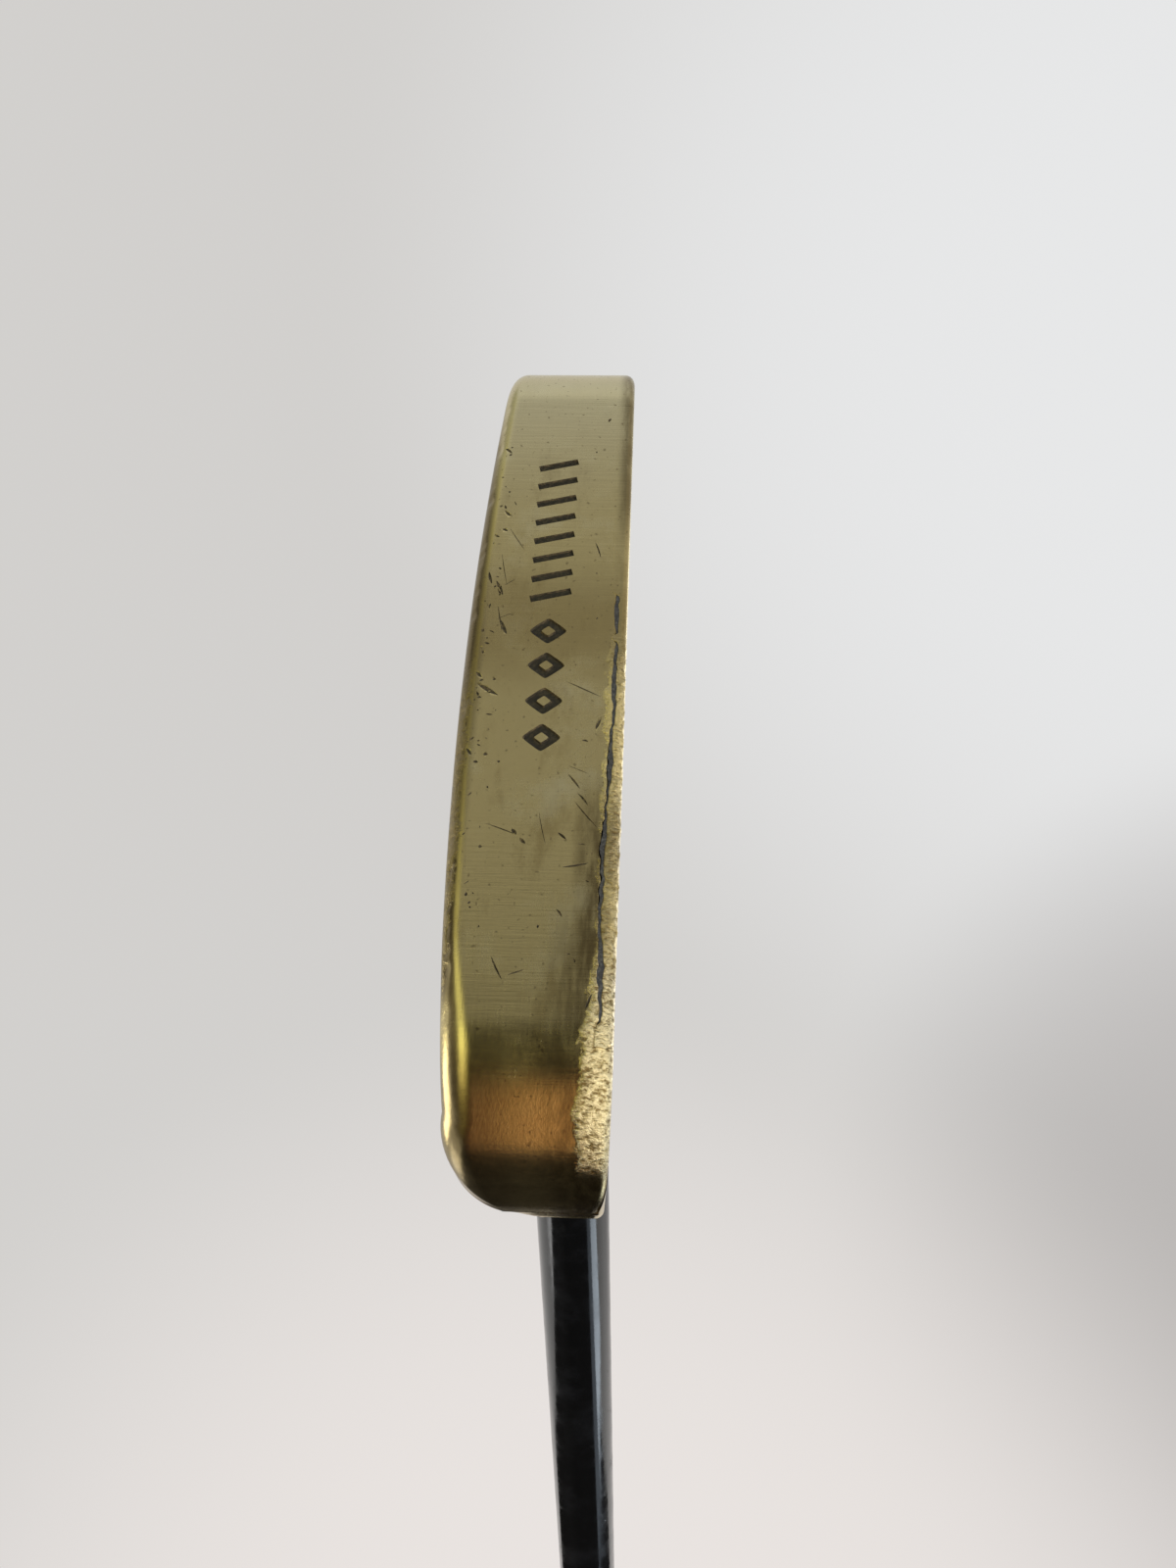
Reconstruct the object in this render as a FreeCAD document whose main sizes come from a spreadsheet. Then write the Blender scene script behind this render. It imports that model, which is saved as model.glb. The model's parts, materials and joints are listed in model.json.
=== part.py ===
"""Blade putter: a brass blade on a black stepped steel shaft, with a rubber grip.

Frame, in millimetres: the origin is on the flat sole, at the middle of the head's length and depth.
-Y is the way the face looks, +X runs to the heel and to the player, +Z is up.  The shaft leans
towards +X by the lie angle.  Pieces on the shaft are drawn upright, with Z along the shaft and zero
where the shaft's axis meets the ground, and then tilted into place.
"""
import FreeCAD, Part
import math
import os
import Sketcher
from FreeCAD import Placement, Rotation, Vector

SIZES = {
    # blade, sole and flange
    "head_length": 118.0,
    "sole_depth": 20.2,
    "toe_height": 25.5,
    "heel_height": 23.5,
    "bow_radius": 620.0,
    "bow_towards_heel": 5.0,
    "heel_round": 16.0,
    "toe_round": 12.0,
    "heel_top_round": 5.0,
    "toe_top_round": 6.0,
    "heel_back_corner": 6.0,
    "toe_back_corner": 4.0,
    "sole_edge_round": 2.2,
    "leading_edge_round": 0.8,
    "loft": 3.0,
    "topline_width": 8.0,
    "flange_thickness": 8.0,
    "heel_weight_length": 30.0,
    "toe_weight_length": 27.0,
    "weight_top_front": 20.0,
    "weight_top_back": 12.5,
    "cavity_round": 2.0,
    # face insert and its bond
    "insert_end_margin": 13.0,
    "insert_top_margin": 4.0,
    "insert_corner": 4.0,
    "plate_thickness": 1.35,
    "bond_thickness": 0.7,
    "toe_foot_length": 32.5,
    "heel_foot_length": 2.1,
    "foot_height": 1.4,
    # engraved marks in the sole, and the alignment groove in the flange
    "mark_depth": 0.45,
    "mark_fill": 0.2,
    "mark_row_back": 9.8,
    "stroke": 0.75,
    "bar_count": 8,
    "bar_first": -36.2,
    "bar_pitch": 3.1,
    "bar_height": 6.0,
    "bar_slant": 1.5,
    "lozenge_count": 4,
    "lozenge_first": -7.8,
    "lozenge_pitch": 5.2,
    "lozenge_width": 4.0,
    "lozenge_height": 4.9,
    "groove_width": 1.2,
    "groove_depth": 0.5,
    "groove_gap_front": 1.5,
    "groove_gap_back": 3.0,
    "groove_fill": 0.3,
    # shaft, neck and post
    "lie": 70.0,
    "shaft_from_heel": 24.1,
    "shaft_setback": 1.3,
    "tip_diameter": 9.4,
    "butt_diameter": 14.7,
    "shaft_wall": 0.5,
    "shoulder_step": 0.25,
    "neck_root": 12.0,
    "neck_rise": 3.2,
    "post_length": 26.0,
    "post_chamfer": 0.8,
    "epoxy_gap": 0.12,
    "tip_run": 230.0,
    "step_count": 9,
    "step_pitch": 38.0,
    "step_cone": 1.6,
    "club_length": 889.0,
    # grip, tape and end cap
    "grip_length": 267.0,
    "tape_thickness": 0.2,
    "tape_inset": 3.0,
    "grip_low_wall": 1.85,
    "grip_low_collar": 14.0,
    "grip_butt_wall": 5.65,
    "grip_lip": 1.0,
    "flat_low_wall": 0.75,
    "flat_butt_wall": 3.25,
    "cap_thickness": 4.0,
    "cap_round": 1.2,
    "cap_spigot": 10.0,
    "cap_clearance": 0.1,
    "vent_diameter": 3.2,
    # reach of a cutting block past the solid that it cuts
    "overrun": 6.0,
}

HEEL_END = "Sizes.head_length / 2"
TOE_END = "-Sizes.head_length / 2"
LEADING_EDGE = "-Sizes.sole_depth / 2"
BACK_EDGE = "Sizes.sole_depth / 2"
BLADE_BACK = "-Sizes.sole_depth / 2 + Sizes.topline_width"
HEAD_TOP = "max(Sizes.toe_height; Sizes.heel_height)"
MARK_ROW = "-Sizes.sole_depth / 2 + Sizes.mark_row_back"
POCKET_DEPTH = "Sizes.plate_thickness + Sizes.bond_thickness"
INSERT_HALF = "(Sizes.head_length / 2 - Sizes.insert_end_margin)"
INSERT_TOP = "Sizes.heel_height - Sizes.insert_top_margin"
# heights of the pieces on the shaft run along its axis, from the ground
NECK_TOP = "(Sizes.heel_height + Sizes.neck_rise) / sin(Sizes.lie)"
TIP_RADIUS = "Sizes.tip_diameter / 2"
BUTT_RADIUS = "Sizes.butt_diameter / 2"
BUTT_BORE = "Sizes.butt_diameter / 2 - Sizes.shaft_wall"
TIP_BORE = "Sizes.tip_diameter / 2 - Sizes.shaft_wall"
POST_RADIUS = "Sizes.tip_diameter / 2 - Sizes.shaft_wall - Sizes.epoxy_gap"
POST_TOP = f"{NECK_TOP} + Sizes.post_length"
STEP_RISE = "(Sizes.butt_diameter - Sizes.tip_diameter) / 2 / Sizes.step_count"
SHAFT_TOP = "Sizes.club_length - Sizes.cap_thickness"
GRIP_START = "Sizes.club_length - Sizes.grip_length"
GRIP_BORE = "Sizes.butt_diameter / 2 + Sizes.tape_thickness"
GRIP_LOW_RADIUS = f"{GRIP_BORE} + Sizes.grip_low_wall"
GRIP_BUTT_RADIUS = f"({GRIP_BORE} + Sizes.grip_butt_wall)"


def make_sheet(doc):
    """Put every driving size into the spreadsheet under its own alias."""
    sheet = doc.addObject("Spreadsheet::Sheet", "Sizes")
    for row, (word, value) in enumerate(SIZES.items(), 1):
        sheet.set(f"A{row}", word)
        sheet.set(f"B{row}", str(value))
        sheet.setAlias(f"B{row}", word)
    doc.recompute()


def new_body(doc, name):
    """A PartDesign body with a label of its own."""
    body = doc.addObject("PartDesign::Body", name)
    body.Label = name
    return body


def sketch_on(body, name, role, shift=None):
    """A sketch on one of the body's own origin planes, moved along its normal by a formula."""
    sketch = body.newObject("Sketcher::SketchObject", name)
    plane = next(item for item in body.Origin.OriginFeatures if item.Role == role)
    sketch.AttachmentSupport = [(plane, "")]
    sketch.MapMode = "FlatFace"
    if shift:
        sketch.setExpression("AttachmentOffset.Base.z", shift)
    return sketch


def fix_point(sketch, edge, end, across, up):
    """Tie one end of an edge to its place, given as two formulas from the sketch's origin."""
    for kind, formula in (("DistanceX", across), ("DistanceY", up)):
        number = sketch.addConstraint(Sketcher.Constraint(kind, -1, 1, edge, end, 1.0))
        sketch.setExpression(f"Constraints[{number}]", formula)


def add_outline(sketch, corners):
    """Add a closed outline of straight sides; each corner is a pair of formulas."""
    count = len(corners)
    first = sketch.GeometryCount
    turn = 2 * math.pi / count
    ring = [Vector(50 * math.cos(turn * k), 50 * math.sin(turn * k), 0) for k in range(count)]
    for k in range(count):
        sketch.addGeometry(Part.LineSegment(ring[k], ring[(k + 1) % count]))
    for k in range(count):
        following = first + (k + 1) % count
        sketch.addConstraint(Sketcher.Constraint("Coincident", first + k, 2, following, 1))
    for k, (across, up) in enumerate(corners):
        fix_point(sketch, first + k, 1, across, up)


def outline_sketch(body, name, role, corners, shift=None):
    """A sketch that holds one closed outline."""
    sketch = sketch_on(body, name, role, shift)
    add_outline(sketch, corners)
    return sketch


def add_pad(body, name, sketch, length, symmetric=False, reverse=False):
    """Extrude a sketch into the body."""
    pad = body.newObject("PartDesign::Pad", name)
    pad.Profile = sketch
    pad.setExpression("Length", length)
    pad.Midplane = symmetric
    pad.Reversed = reverse
    body.Document.recompute()
    return pad


def add_pocket(body, name, sketch, length, symmetric=False, reverse=False):
    """Cut an extruded sketch from the body, and make sure that it took something away."""
    before = body.Shape.Volume
    pocket = body.newObject("PartDesign::Pocket", name)
    pocket.Profile = sketch
    pocket.setExpression("Length", length)
    pocket.Midplane = symmetric
    pocket.Reversed = reverse
    body.Document.recompute()
    if body.Shape.Volume >= before:
        raise RuntimeError(f"{name} cuts nothing")
    return pocket


def add_revolution(body, name, corners):
    """Turn an outline of (radius, height) corners about the body's Z axis."""
    sketch = outline_sketch(body, name + "_outline", "XZ_Plane", corners)
    revolution = body.newObject("PartDesign::Revolution", name)
    revolution.Profile = sketch
    revolution.ReferenceAxis = (sketch, ["V_Axis"])
    revolution.Angle = 360
    body.Document.recompute()
    return revolution


def add_fillet(body, name, feature, radius, wanted):
    """Round the edges of a feature that the test picks out."""
    names = [f"Edge{k}" for k, edge in enumerate(feature.Shape.Edges, 1) if wanted(edge)]
    if not names:
        raise RuntimeError(f"{name} finds no edge")
    fillet = body.newObject("PartDesign::Fillet", name)
    fillet.Base = (feature, names)
    fillet.setExpression("Radius", radius)
    body.Document.recompute()
    return fillet


def add_row(body, name, feature, sketch, length, count):
    """Repeat a feature along the sketch's first axis."""
    row = body.newObject("PartDesign::LinearPattern", name)
    row.Originals = [feature]
    row.Direction = (sketch, ["H_Axis"])
    row.setExpression("Length", length)
    row.setExpression("Occurrences", count)
    body.Tip = row
    body.Document.recompute()
    return row


def boolean(doc, kind, name, first, second):
    """A Part boolean of two objects: Cut, Common or Fuse."""
    result = doc.addObject(f"Part::{kind}", name)
    result.Label = name
    result.Base = first
    result.Tool = second
    doc.recompute()
    return result


def is_close(value, target):
    """True where two coordinates are the same to a hundredth of a millimetre."""
    return abs(value - target) < 0.01


def stand_on_shaft(piece):
    """Tilt an upright piece about the ground point of the shaft's axis, to the lie angle."""
    piece.Placement = Placement(Vector(), Rotation(Vector(0, 1, 0), 90 - SIZES["lie"]))
    piece.setExpression("Placement.Rotation.Angle", "90 - Sizes.lie")
    piece.setExpression("Placement.Base.x", f"{HEEL_END} - Sizes.shaft_from_heel")
    piece.setExpression("Placement.Base.y", f"{LEADING_EDGE} + Sizes.shaft_setback + {TIP_RADIUS}")


def lean_on_face(piece):
    """Lean an upright piece back about the leading edge, by the loft."""
    piece.Placement = Placement(Vector(), Rotation(Vector(-1, 0, 0), SIZES["loft"]))
    piece.setExpression("Placement.Rotation.Angle", "Sizes.loft")
    piece.setExpression("Placement.Base.y", LEADING_EDGE)


def plan_sketch(body):
    """The head from above: straight face, straight ends and a bowed back."""
    sketch = sketch_on(body, "plan", "XY_Plane")
    half, deep = SIZES["head_length"] / 2, SIZES["sole_depth"] / 2
    bow, heelward = SIZES["bow_radius"], SIZES["bow_towards_heel"]
    centre = Vector(heelward, deep - bow, 0)
    start = math.acos((half - heelward) / bow)
    end = math.acos((-half - heelward) / bow)
    arc = Part.ArcOfCircle(Part.Circle(centre, Vector(0, 0, 1), bow), start, end)
    heel_front, toe_front = Vector(half, -deep, 0), Vector(-half, -deep, 0)
    sketch.addGeometry(Part.LineSegment(toe_front, heel_front))
    sketch.addGeometry(Part.LineSegment(heel_front, arc.StartPoint))
    sketch.addGeometry(arc)
    sketch.addGeometry(Part.LineSegment(arc.EndPoint, toe_front))
    for edge in range(4):
        sketch.addConstraint(Sketcher.Constraint("Coincident", edge, 2, (edge + 1) % 4, 1))
    fix_point(sketch, 0, 1, TOE_END, LEADING_EDGE)
    fix_point(sketch, 0, 2, HEEL_END, LEADING_EDGE)
    sketch.addConstraint(Sketcher.Constraint("Vertical", 1))
    sketch.addConstraint(Sketcher.Constraint("Vertical", 3))
    fix_point(sketch, 2, 3, "Sizes.bow_towards_heel", f"{BACK_EDGE} - Sizes.bow_radius")
    radius = sketch.addConstraint(Sketcher.Constraint("Radius", 2, bow))
    sketch.setExpression(f"Constraints[{radius}]", "Sizes.bow_radius")
    return sketch


def bar_corners():
    """One slanted bar of the sole's marks, its foot at the first place in the row."""
    low = f"{MARK_ROW} - Sizes.bar_height / 2"
    high = f"{MARK_ROW} + Sizes.bar_height / 2"
    foot, head = "Sizes.bar_first", "Sizes.bar_first + Sizes.bar_slant"
    return [(foot, low), (f"{foot} + Sizes.stroke", low), (f"{head} + Sizes.stroke", high), (head, high)]


def lozenge_corners(inset):
    """One lozenge of the sole's marks, drawn in by an inset along both its diagonals."""
    wide = f"(Sizes.lozenge_width / 2 - {inset})"
    tall = f"(Sizes.lozenge_height / 2 - {inset})"
    middle = "Sizes.lozenge_first"
    return [
        (f"{middle} + {wide}", MARK_ROW),
        (middle, f"{MARK_ROW} + {tall}"),
        (f"{middle} - {wide}", MARK_ROW),
        (middle, f"{MARK_ROW} - {tall}"),
    ]


def add_marks(body, add_feature, height, shift=None):
    """Bars and open lozenges along the sole, as pockets in the head or as pads of dark fill."""
    bar = outline_sketch(body, "bar", "XY_Plane", bar_corners(), shift)
    first_bar = add_feature(body, "first_bar", bar, height)
    add_row(body, "bars", first_bar, bar, "(Sizes.bar_count - 1) * Sizes.bar_pitch", "Sizes.bar_count")
    lozenge = outline_sketch(body, "lozenge", "XY_Plane", lozenge_corners("0"), shift)
    add_outline(lozenge, lozenge_corners("Sizes.stroke * 1.35"))
    first_lozenge = add_feature(body, "first_lozenge", lozenge, height)
    reach = "(Sizes.lozenge_count - 1) * Sizes.lozenge_pitch"
    add_row(body, "lozenges", first_lozenge, lozenge, reach, "Sizes.lozenge_count")


def pocket_up(body, name, sketch, height):
    """A pocket that runs up into the solid from the sketch."""
    return add_pocket(body, name, sketch, height, reverse=True)


def groove_corners():
    """The alignment groove, straight back across the flange."""
    half = "Sizes.groove_width / 2"
    front = f"{BLADE_BACK} + Sizes.cavity_round + Sizes.groove_gap_front"
    back = f"{BACK_EDGE} - Sizes.groove_gap_back"
    return [(f"-{half}", front), (half, front), (half, back), (f"-{half}", back)]


def make_blade_plan(doc):
    """The blade, flange and weights before the ends are rounded, with its marks and groove."""
    body = new_body(doc, "blade_plan")
    past_top = f"{HEAD_TOP} + Sizes.overrun"
    past_back = f"{BACK_EDGE} + Sizes.overrun"
    block = add_pad(body, "block", plan_sketch(body), HEAD_TOP)
    across = "2 * Sizes.head_length"

    in_front = f"{LEADING_EDGE} - Sizes.overrun"
    lean = f"{LEADING_EDGE} + ({past_top}) * tan(Sizes.loft)"
    loft = [(LEADING_EDGE, "0"), (lean, past_top), (in_front, past_top), (in_front, "0")]
    side = outline_sketch(body, "loft", "YZ_Plane", loft)
    block = add_pocket(body, "loft_cut", side, across, symmetric=True)

    slope = [
        (BLADE_BACK, "Sizes.weight_top_front"),
        (BACK_EDGE, "Sizes.weight_top_back"),
        (past_back, "Sizes.weight_top_back"),
        (past_back, past_top),
        (BLADE_BACK, past_top),
    ]
    side = outline_sketch(body, "slope", "YZ_Plane", slope)
    block = add_pocket(body, "weight_slope", side, across, symmetric=True)

    toe_side = f"{TOE_END} + Sizes.toe_weight_length"
    heel_side = f"{HEEL_END} - Sizes.heel_weight_length"
    cavity = [(toe_side, BLADE_BACK), (heel_side, BLADE_BACK), (heel_side, past_back), (toe_side, past_back)]
    floor = outline_sketch(body, "cavity", "XY_Plane", cavity, "Sizes.flange_thickness")
    block = add_pocket(body, "cavity_cut", floor, past_top, reverse=True)

    half = SIZES["head_length"] / 2
    thick = SIZES["flange_thickness"]
    blade_back = -SIZES["sole_depth"] / 2 + SIZES["topline_width"]

    def upright(edge, x):
        box = edge.BoundBox
        return box.ZLength > 5 and is_close(box.XMin, x) and is_close(box.XMax, x) and box.YMin > 0

    def cavity_wall(edge):
        box = edge.BoundBox
        on_blade = is_close(box.YMin, blade_back) and is_close(box.YMax, blade_back)
        return on_blade and box.ZLength > 5 and box.XLength < 0.01 and abs(box.XMin) < half - 1

    def cavity_floor(edge):
        box = edge.BoundBox
        level = is_close(box.ZMin, thick) and is_close(box.ZMax, thick)
        return level and box.YMin < blade_back + 0.01 and box.XLength > 5

    def sole_edge(edge):
        return edge.BoundBox.ZMax < 0.01 and edge.BoundBox.YMin > 0

    def leading_edge(edge):
        return edge.BoundBox.ZMax < 0.01 and edge.BoundBox.YMax < 0 and edge.BoundBox.XLength > half

    for name, size, wanted in (
        ("heel_corner", "heel_back_corner", lambda edge: upright(edge, half)),
        ("toe_corner", "toe_back_corner", lambda edge: upright(edge, -half)),
        ("cavity_walls", "cavity_round", cavity_wall),
        ("cavity_floor", "cavity_round", cavity_floor),
        ("sole_edge", "sole_edge_round", sole_edge),
        ("leading_edge", "leading_edge_round", leading_edge),
    ):
        block = add_fillet(body, name, block, f"Sizes.{size}", wanted)

    add_marks(body, pocket_up, "Sizes.mark_depth")
    groove = outline_sketch(body, "groove", "XY_Plane", groove_corners(), "Sizes.flange_thickness")
    add_pocket(body, "groove_cut", groove, "Sizes.groove_depth")
    return body


def make_blade_profile(doc):
    """The head's outline from the front, as a long prism: rounded toe and heel, sloping top line."""
    body = new_body(doc, "blade_profile")
    corners = [
        (TOE_END, "0"),
        (HEEL_END, "0"),
        (HEEL_END, "Sizes.heel_height"),
        (TOE_END, "Sizes.toe_height"),
    ]
    sketch = outline_sketch(body, "front", "XZ_Plane", corners)
    block = add_pad(body, "prism", sketch, "3 * Sizes.sole_depth", symmetric=True)
    half = SIZES["head_length"] / 2

    def long_edge(edge, x, low):
        box = edge.BoundBox
        return box.YLength > 1 and is_close(box.XMin, x) and (box.ZMax < 1) == low

    for name, x, low in (("heel_round", half, True), ("toe_round", -half, True),
                         ("heel_top_round", half, False), ("toe_top_round", -half, False)):
        block = add_fillet(body, name, block, f"Sizes.{name}",
                           lambda edge, x=x, low=low: long_edge(edge, x, low))
    return body


def make_neck(doc):
    """The neck, with its shoulder, and the post that the shaft slides over."""
    body = new_body(doc, "neck")
    neck = f"{TIP_RADIUS} + Sizes.shoulder_step"
    add_revolution(body, "neck_and_post", [
        ("0", "Sizes.neck_root"),
        (neck, "Sizes.neck_root"),
        (neck, f"{NECK_TOP} - Sizes.shoulder_step"),
        (TIP_RADIUS, NECK_TOP),
        (POST_RADIUS, NECK_TOP),
        (POST_RADIUS, f"{POST_TOP} - Sizes.post_chamfer"),
        (f"{POST_RADIUS} - Sizes.post_chamfer", POST_TOP),
        ("0", POST_TOP),
    ])
    stand_on_shaft(body)
    return body


def face_outline(body, name, start, end, top):
    """An upright rectangle over a stretch of the face, from below the sole to a given height."""
    corners = [(start, "-Sizes.overrun"), (end, "-Sizes.overrun"), (end, top), (start, top)]
    return outline_sketch(body, name, "XZ_Plane", corners)


def make_face_block(doc, name, thickness):
    """A block with rounded top corners that reaches a given depth into the face."""
    body = new_body(doc, name)
    outline = face_outline(body, "outline", f"-{INSERT_HALF}", INSERT_HALF, INSERT_TOP)
    block = add_pad(body, "slab", outline, f"2 * ({thickness})", symmetric=True)
    top = SIZES["heel_height"] - SIZES["insert_top_margin"]
    add_fillet(body, "corners", block, "Sizes.insert_corner",
               lambda edge: is_close(edge.BoundBox.ZMin, top) and edge.BoundBox.XLength < 0.01)
    lean_on_face(body)
    return body


def make_plate_block(doc):
    """The plate's slab, with feet at both ends that close its joint in the sole."""
    body = make_face_block(doc, "plate_slab", "Sizes.plate_thickness")
    stretches = {
        "toe_foot": (f"-{INSERT_HALF}", f"-{INSERT_HALF} + Sizes.toe_foot_length"),
        "heel_foot": (f"{INSERT_HALF} - Sizes.heel_foot_length", INSERT_HALF),
    }
    for name, (start, end) in stretches.items():
        outline = face_outline(body, name + "_outline", start, end, "Sizes.foot_height")
        add_pad(body, name, outline, f"2 * ({POCKET_DEPTH})", symmetric=True)
    return body


def make_head(doc):
    """The brass head, the plate in its face and the bond behind the plate."""
    plan, profile = make_blade_plan(doc), make_blade_profile(doc)
    blade = boolean(doc, "Common", "blade", plan, profile)
    whole = boolean(doc, "Fuse", "blade_and_neck", blade, make_neck(doc))
    pocket = make_face_block(doc, "insert_pocket", POCKET_DEPTH)
    plate = make_plate_block(doc)
    bond = boolean(doc, "Cut", "bond_sheet", pocket, plate)
    return [
        boolean(doc, "Cut", "putter_head", whole, pocket),
        boolean(doc, "Common", "face_insert", blade, plate),
        boolean(doc, "Common", "insert_bond", blade, bond),
    ]


def make_sole_fill(doc):
    """Dark fill at the bottom of the engraved marks."""
    body = new_body(doc, "sole_mark_fill")
    add_marks(body, add_pad, "Sizes.mark_fill", "Sizes.mark_depth - Sizes.mark_fill")
    return body


def make_sight_fill(doc):
    """Paint in the alignment groove."""
    body = new_body(doc, "sight_line_fill")
    floor = "Sizes.flange_thickness - Sizes.groove_depth"
    sketch = outline_sketch(body, "groove", "XY_Plane", groove_corners(), floor)
    add_pad(body, "paint", sketch, "Sizes.groove_fill")
    return body


def shaft_wall_corners():
    """Outside of the shaft from tip to butt, then its bore back down, as (radius, height)."""
    outside = [(TIP_RADIUS, NECK_TOP)]
    for step in range(SIZES["step_count"]):
        foot = f"{NECK_TOP} + Sizes.tip_run + {step} * Sizes.step_pitch"
        outside.append((f"{TIP_RADIUS} + {step} * {STEP_RISE}", foot))
        outside.append((f"{TIP_RADIUS} + {step + 1} * {STEP_RISE}", f"{foot} + Sizes.step_cone"))
    outside.append((BUTT_RADIUS, SHAFT_TOP))
    inside = [(f"{radius} - Sizes.shaft_wall", height) for radius, height in reversed(outside)]
    return outside + inside


def make_sleeve(doc, name, inner, outer, low, high):
    """A plain sleeve round the shaft's axis."""
    body = new_body(doc, name)
    add_revolution(body, "sleeve", [(inner, low), (outer, low), (outer, high), (inner, high)])
    stand_on_shaft(body)
    return body


def make_shaft(doc):
    """The stepped tube, seated on the neck's shoulder."""
    body = new_body(doc, "shaft")
    add_revolution(body, "tube", shaft_wall_corners())
    stand_on_shaft(body)
    return body


def cut_flat(body, low, high):
    """Cut the thumb flat, which widens the grip's section towards the butt as the grip does."""
    outside = f"-2 * {GRIP_BUTT_RADIUS}"
    flat = f"-({GRIP_BORE} + Sizes.flat_low_wall)"
    slope = "(Sizes.flat_butt_wall - Sizes.flat_low_wall) / Sizes.grip_length"
    near, far = f"{low} - Sizes.overrun", f"{high} + Sizes.overrun"
    corners = [
        (outside, near),
        (f"{flat} - ({near} - ({GRIP_START})) * {slope}", near),
        (f"{flat} - ({far} - ({GRIP_START})) * {slope}", far),
        (outside, far),
    ]
    sketch = outline_sketch(body, "thumb_flat", "XZ_Plane", corners)
    return add_pocket(body, "flat_cut", sketch, f"4 * {GRIP_BUTT_RADIUS}", symmetric=True)


def make_grip(doc):
    """The rubber grip: a slow taper, a short collar at its low end and a flat for the thumbs."""
    body = new_body(doc, "grip")
    add_revolution(body, "taper", [
        (GRIP_BORE, GRIP_START),
        (f"{GRIP_LOW_RADIUS} - Sizes.grip_lip", GRIP_START),
        (GRIP_LOW_RADIUS, f"{GRIP_START} + Sizes.grip_lip"),
        (GRIP_LOW_RADIUS, f"{GRIP_START} + Sizes.grip_low_collar"),
        (GRIP_BUTT_RADIUS, SHAFT_TOP),
        (GRIP_BORE, SHAFT_TOP),
    ])
    cut_flat(body, GRIP_START, SHAFT_TOP)
    stand_on_shaft(body)
    return body


def make_cap(doc):
    """The end cap: a flange that ends the grip, a spigot in the shaft's bore, and a vent."""
    body = new_body(doc, "grip_cap")
    vent = "Sizes.vent_diameter / 2"
    spigot = f"{BUTT_BORE} - Sizes.cap_clearance"
    add_revolution(body, "plug", [
        (vent, f"{SHAFT_TOP} - Sizes.cap_spigot"),
        (spigot, f"{SHAFT_TOP} - Sizes.cap_spigot"),
        (spigot, SHAFT_TOP),
        (GRIP_BUTT_RADIUS, SHAFT_TOP),
        (GRIP_BUTT_RADIUS, "Sizes.club_length - Sizes.cap_round"),
        (f"{GRIP_BUTT_RADIUS} - Sizes.cap_round", "Sizes.club_length"),
        (vent, "Sizes.club_length"),
    ])
    cut_flat(body, SHAFT_TOP, "Sizes.club_length")
    stand_on_shaft(body)
    return body


def check(doc, parts):
    """Stop if any object failed to recompute, or any sub-part has no sound solid."""
    for item in doc.Objects:
        if "Invalid" in item.State or "Error" in item.State:
            raise RuntimeError(f"{item.Name} failed: {item.State}")
    for part in parts:
        if part.Shape.isNull() or not part.Shape.isValid() or not part.Shape.Solids:
            raise RuntimeError(f"{part.Label} has no valid solid")


def main():
    """Build the document, check it and write one file per sub-part."""
    doc = FreeCAD.newDocument("blade_putter")
    make_sheet(doc)
    parts = make_head(doc)
    parts += [make_sole_fill(doc), make_sight_fill(doc), make_shaft(doc)]
    parts.append(make_sleeve(doc, "shaft_epoxy", POST_RADIUS, TIP_BORE, NECK_TOP, POST_TOP))
    tape_low = f"{GRIP_START} + Sizes.tape_inset"
    parts.append(make_sleeve(doc, "grip_tape", BUTT_RADIUS, GRIP_BORE, tape_low, SHAFT_TOP))
    parts += [make_grip(doc), make_cap(doc)]
    doc.recompute()
    check(doc, parts)
    os.makedirs("parts", exist_ok=True)
    for part in parts:
        part.Shape.exportStep(f"parts/{part.Label}.step")
        box = part.Shape.BoundBox
        print(f"{part.Label}: {len(part.Shape.Solids)} solid(s), {part.Shape.Volume:.1f} mm3, "
              f"{box.XLength:.1f} x {box.YLength:.1f} x {box.ZLength:.1f} mm")


main()
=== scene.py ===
"""Blade putter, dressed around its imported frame: a worn brass blade on a gloss black stepped shaft.

Everything is in the frame's own axes: the sole lies on Z = 0, the face looks along -Y, +X runs to the
heel.  Shapes are worked out in millimetres and become metres as they enter a mesh.
"""

import json
import logging
import math
from dataclasses import dataclass, field
from enum import Enum

import bpy
import numpy as np
from mathutils import Matrix, Vector


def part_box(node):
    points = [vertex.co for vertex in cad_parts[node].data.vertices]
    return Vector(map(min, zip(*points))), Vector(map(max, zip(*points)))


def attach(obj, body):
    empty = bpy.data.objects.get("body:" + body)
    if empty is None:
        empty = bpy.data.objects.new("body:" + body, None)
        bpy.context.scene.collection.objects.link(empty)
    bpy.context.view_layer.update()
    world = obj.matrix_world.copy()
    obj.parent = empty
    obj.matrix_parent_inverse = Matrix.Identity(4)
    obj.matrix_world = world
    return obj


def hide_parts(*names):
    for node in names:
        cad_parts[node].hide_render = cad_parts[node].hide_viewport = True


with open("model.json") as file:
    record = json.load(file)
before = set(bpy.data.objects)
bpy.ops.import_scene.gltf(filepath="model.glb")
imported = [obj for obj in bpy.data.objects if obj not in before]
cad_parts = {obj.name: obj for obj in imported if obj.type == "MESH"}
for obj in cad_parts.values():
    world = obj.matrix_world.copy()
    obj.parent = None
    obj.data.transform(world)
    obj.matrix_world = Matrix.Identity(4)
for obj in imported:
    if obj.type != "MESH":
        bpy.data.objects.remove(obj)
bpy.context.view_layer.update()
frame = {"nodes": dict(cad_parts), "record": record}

MM = 0.001
ROOT = "root"
CREASE = math.radians(38)
log = logging.getLogger("putter")

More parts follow.
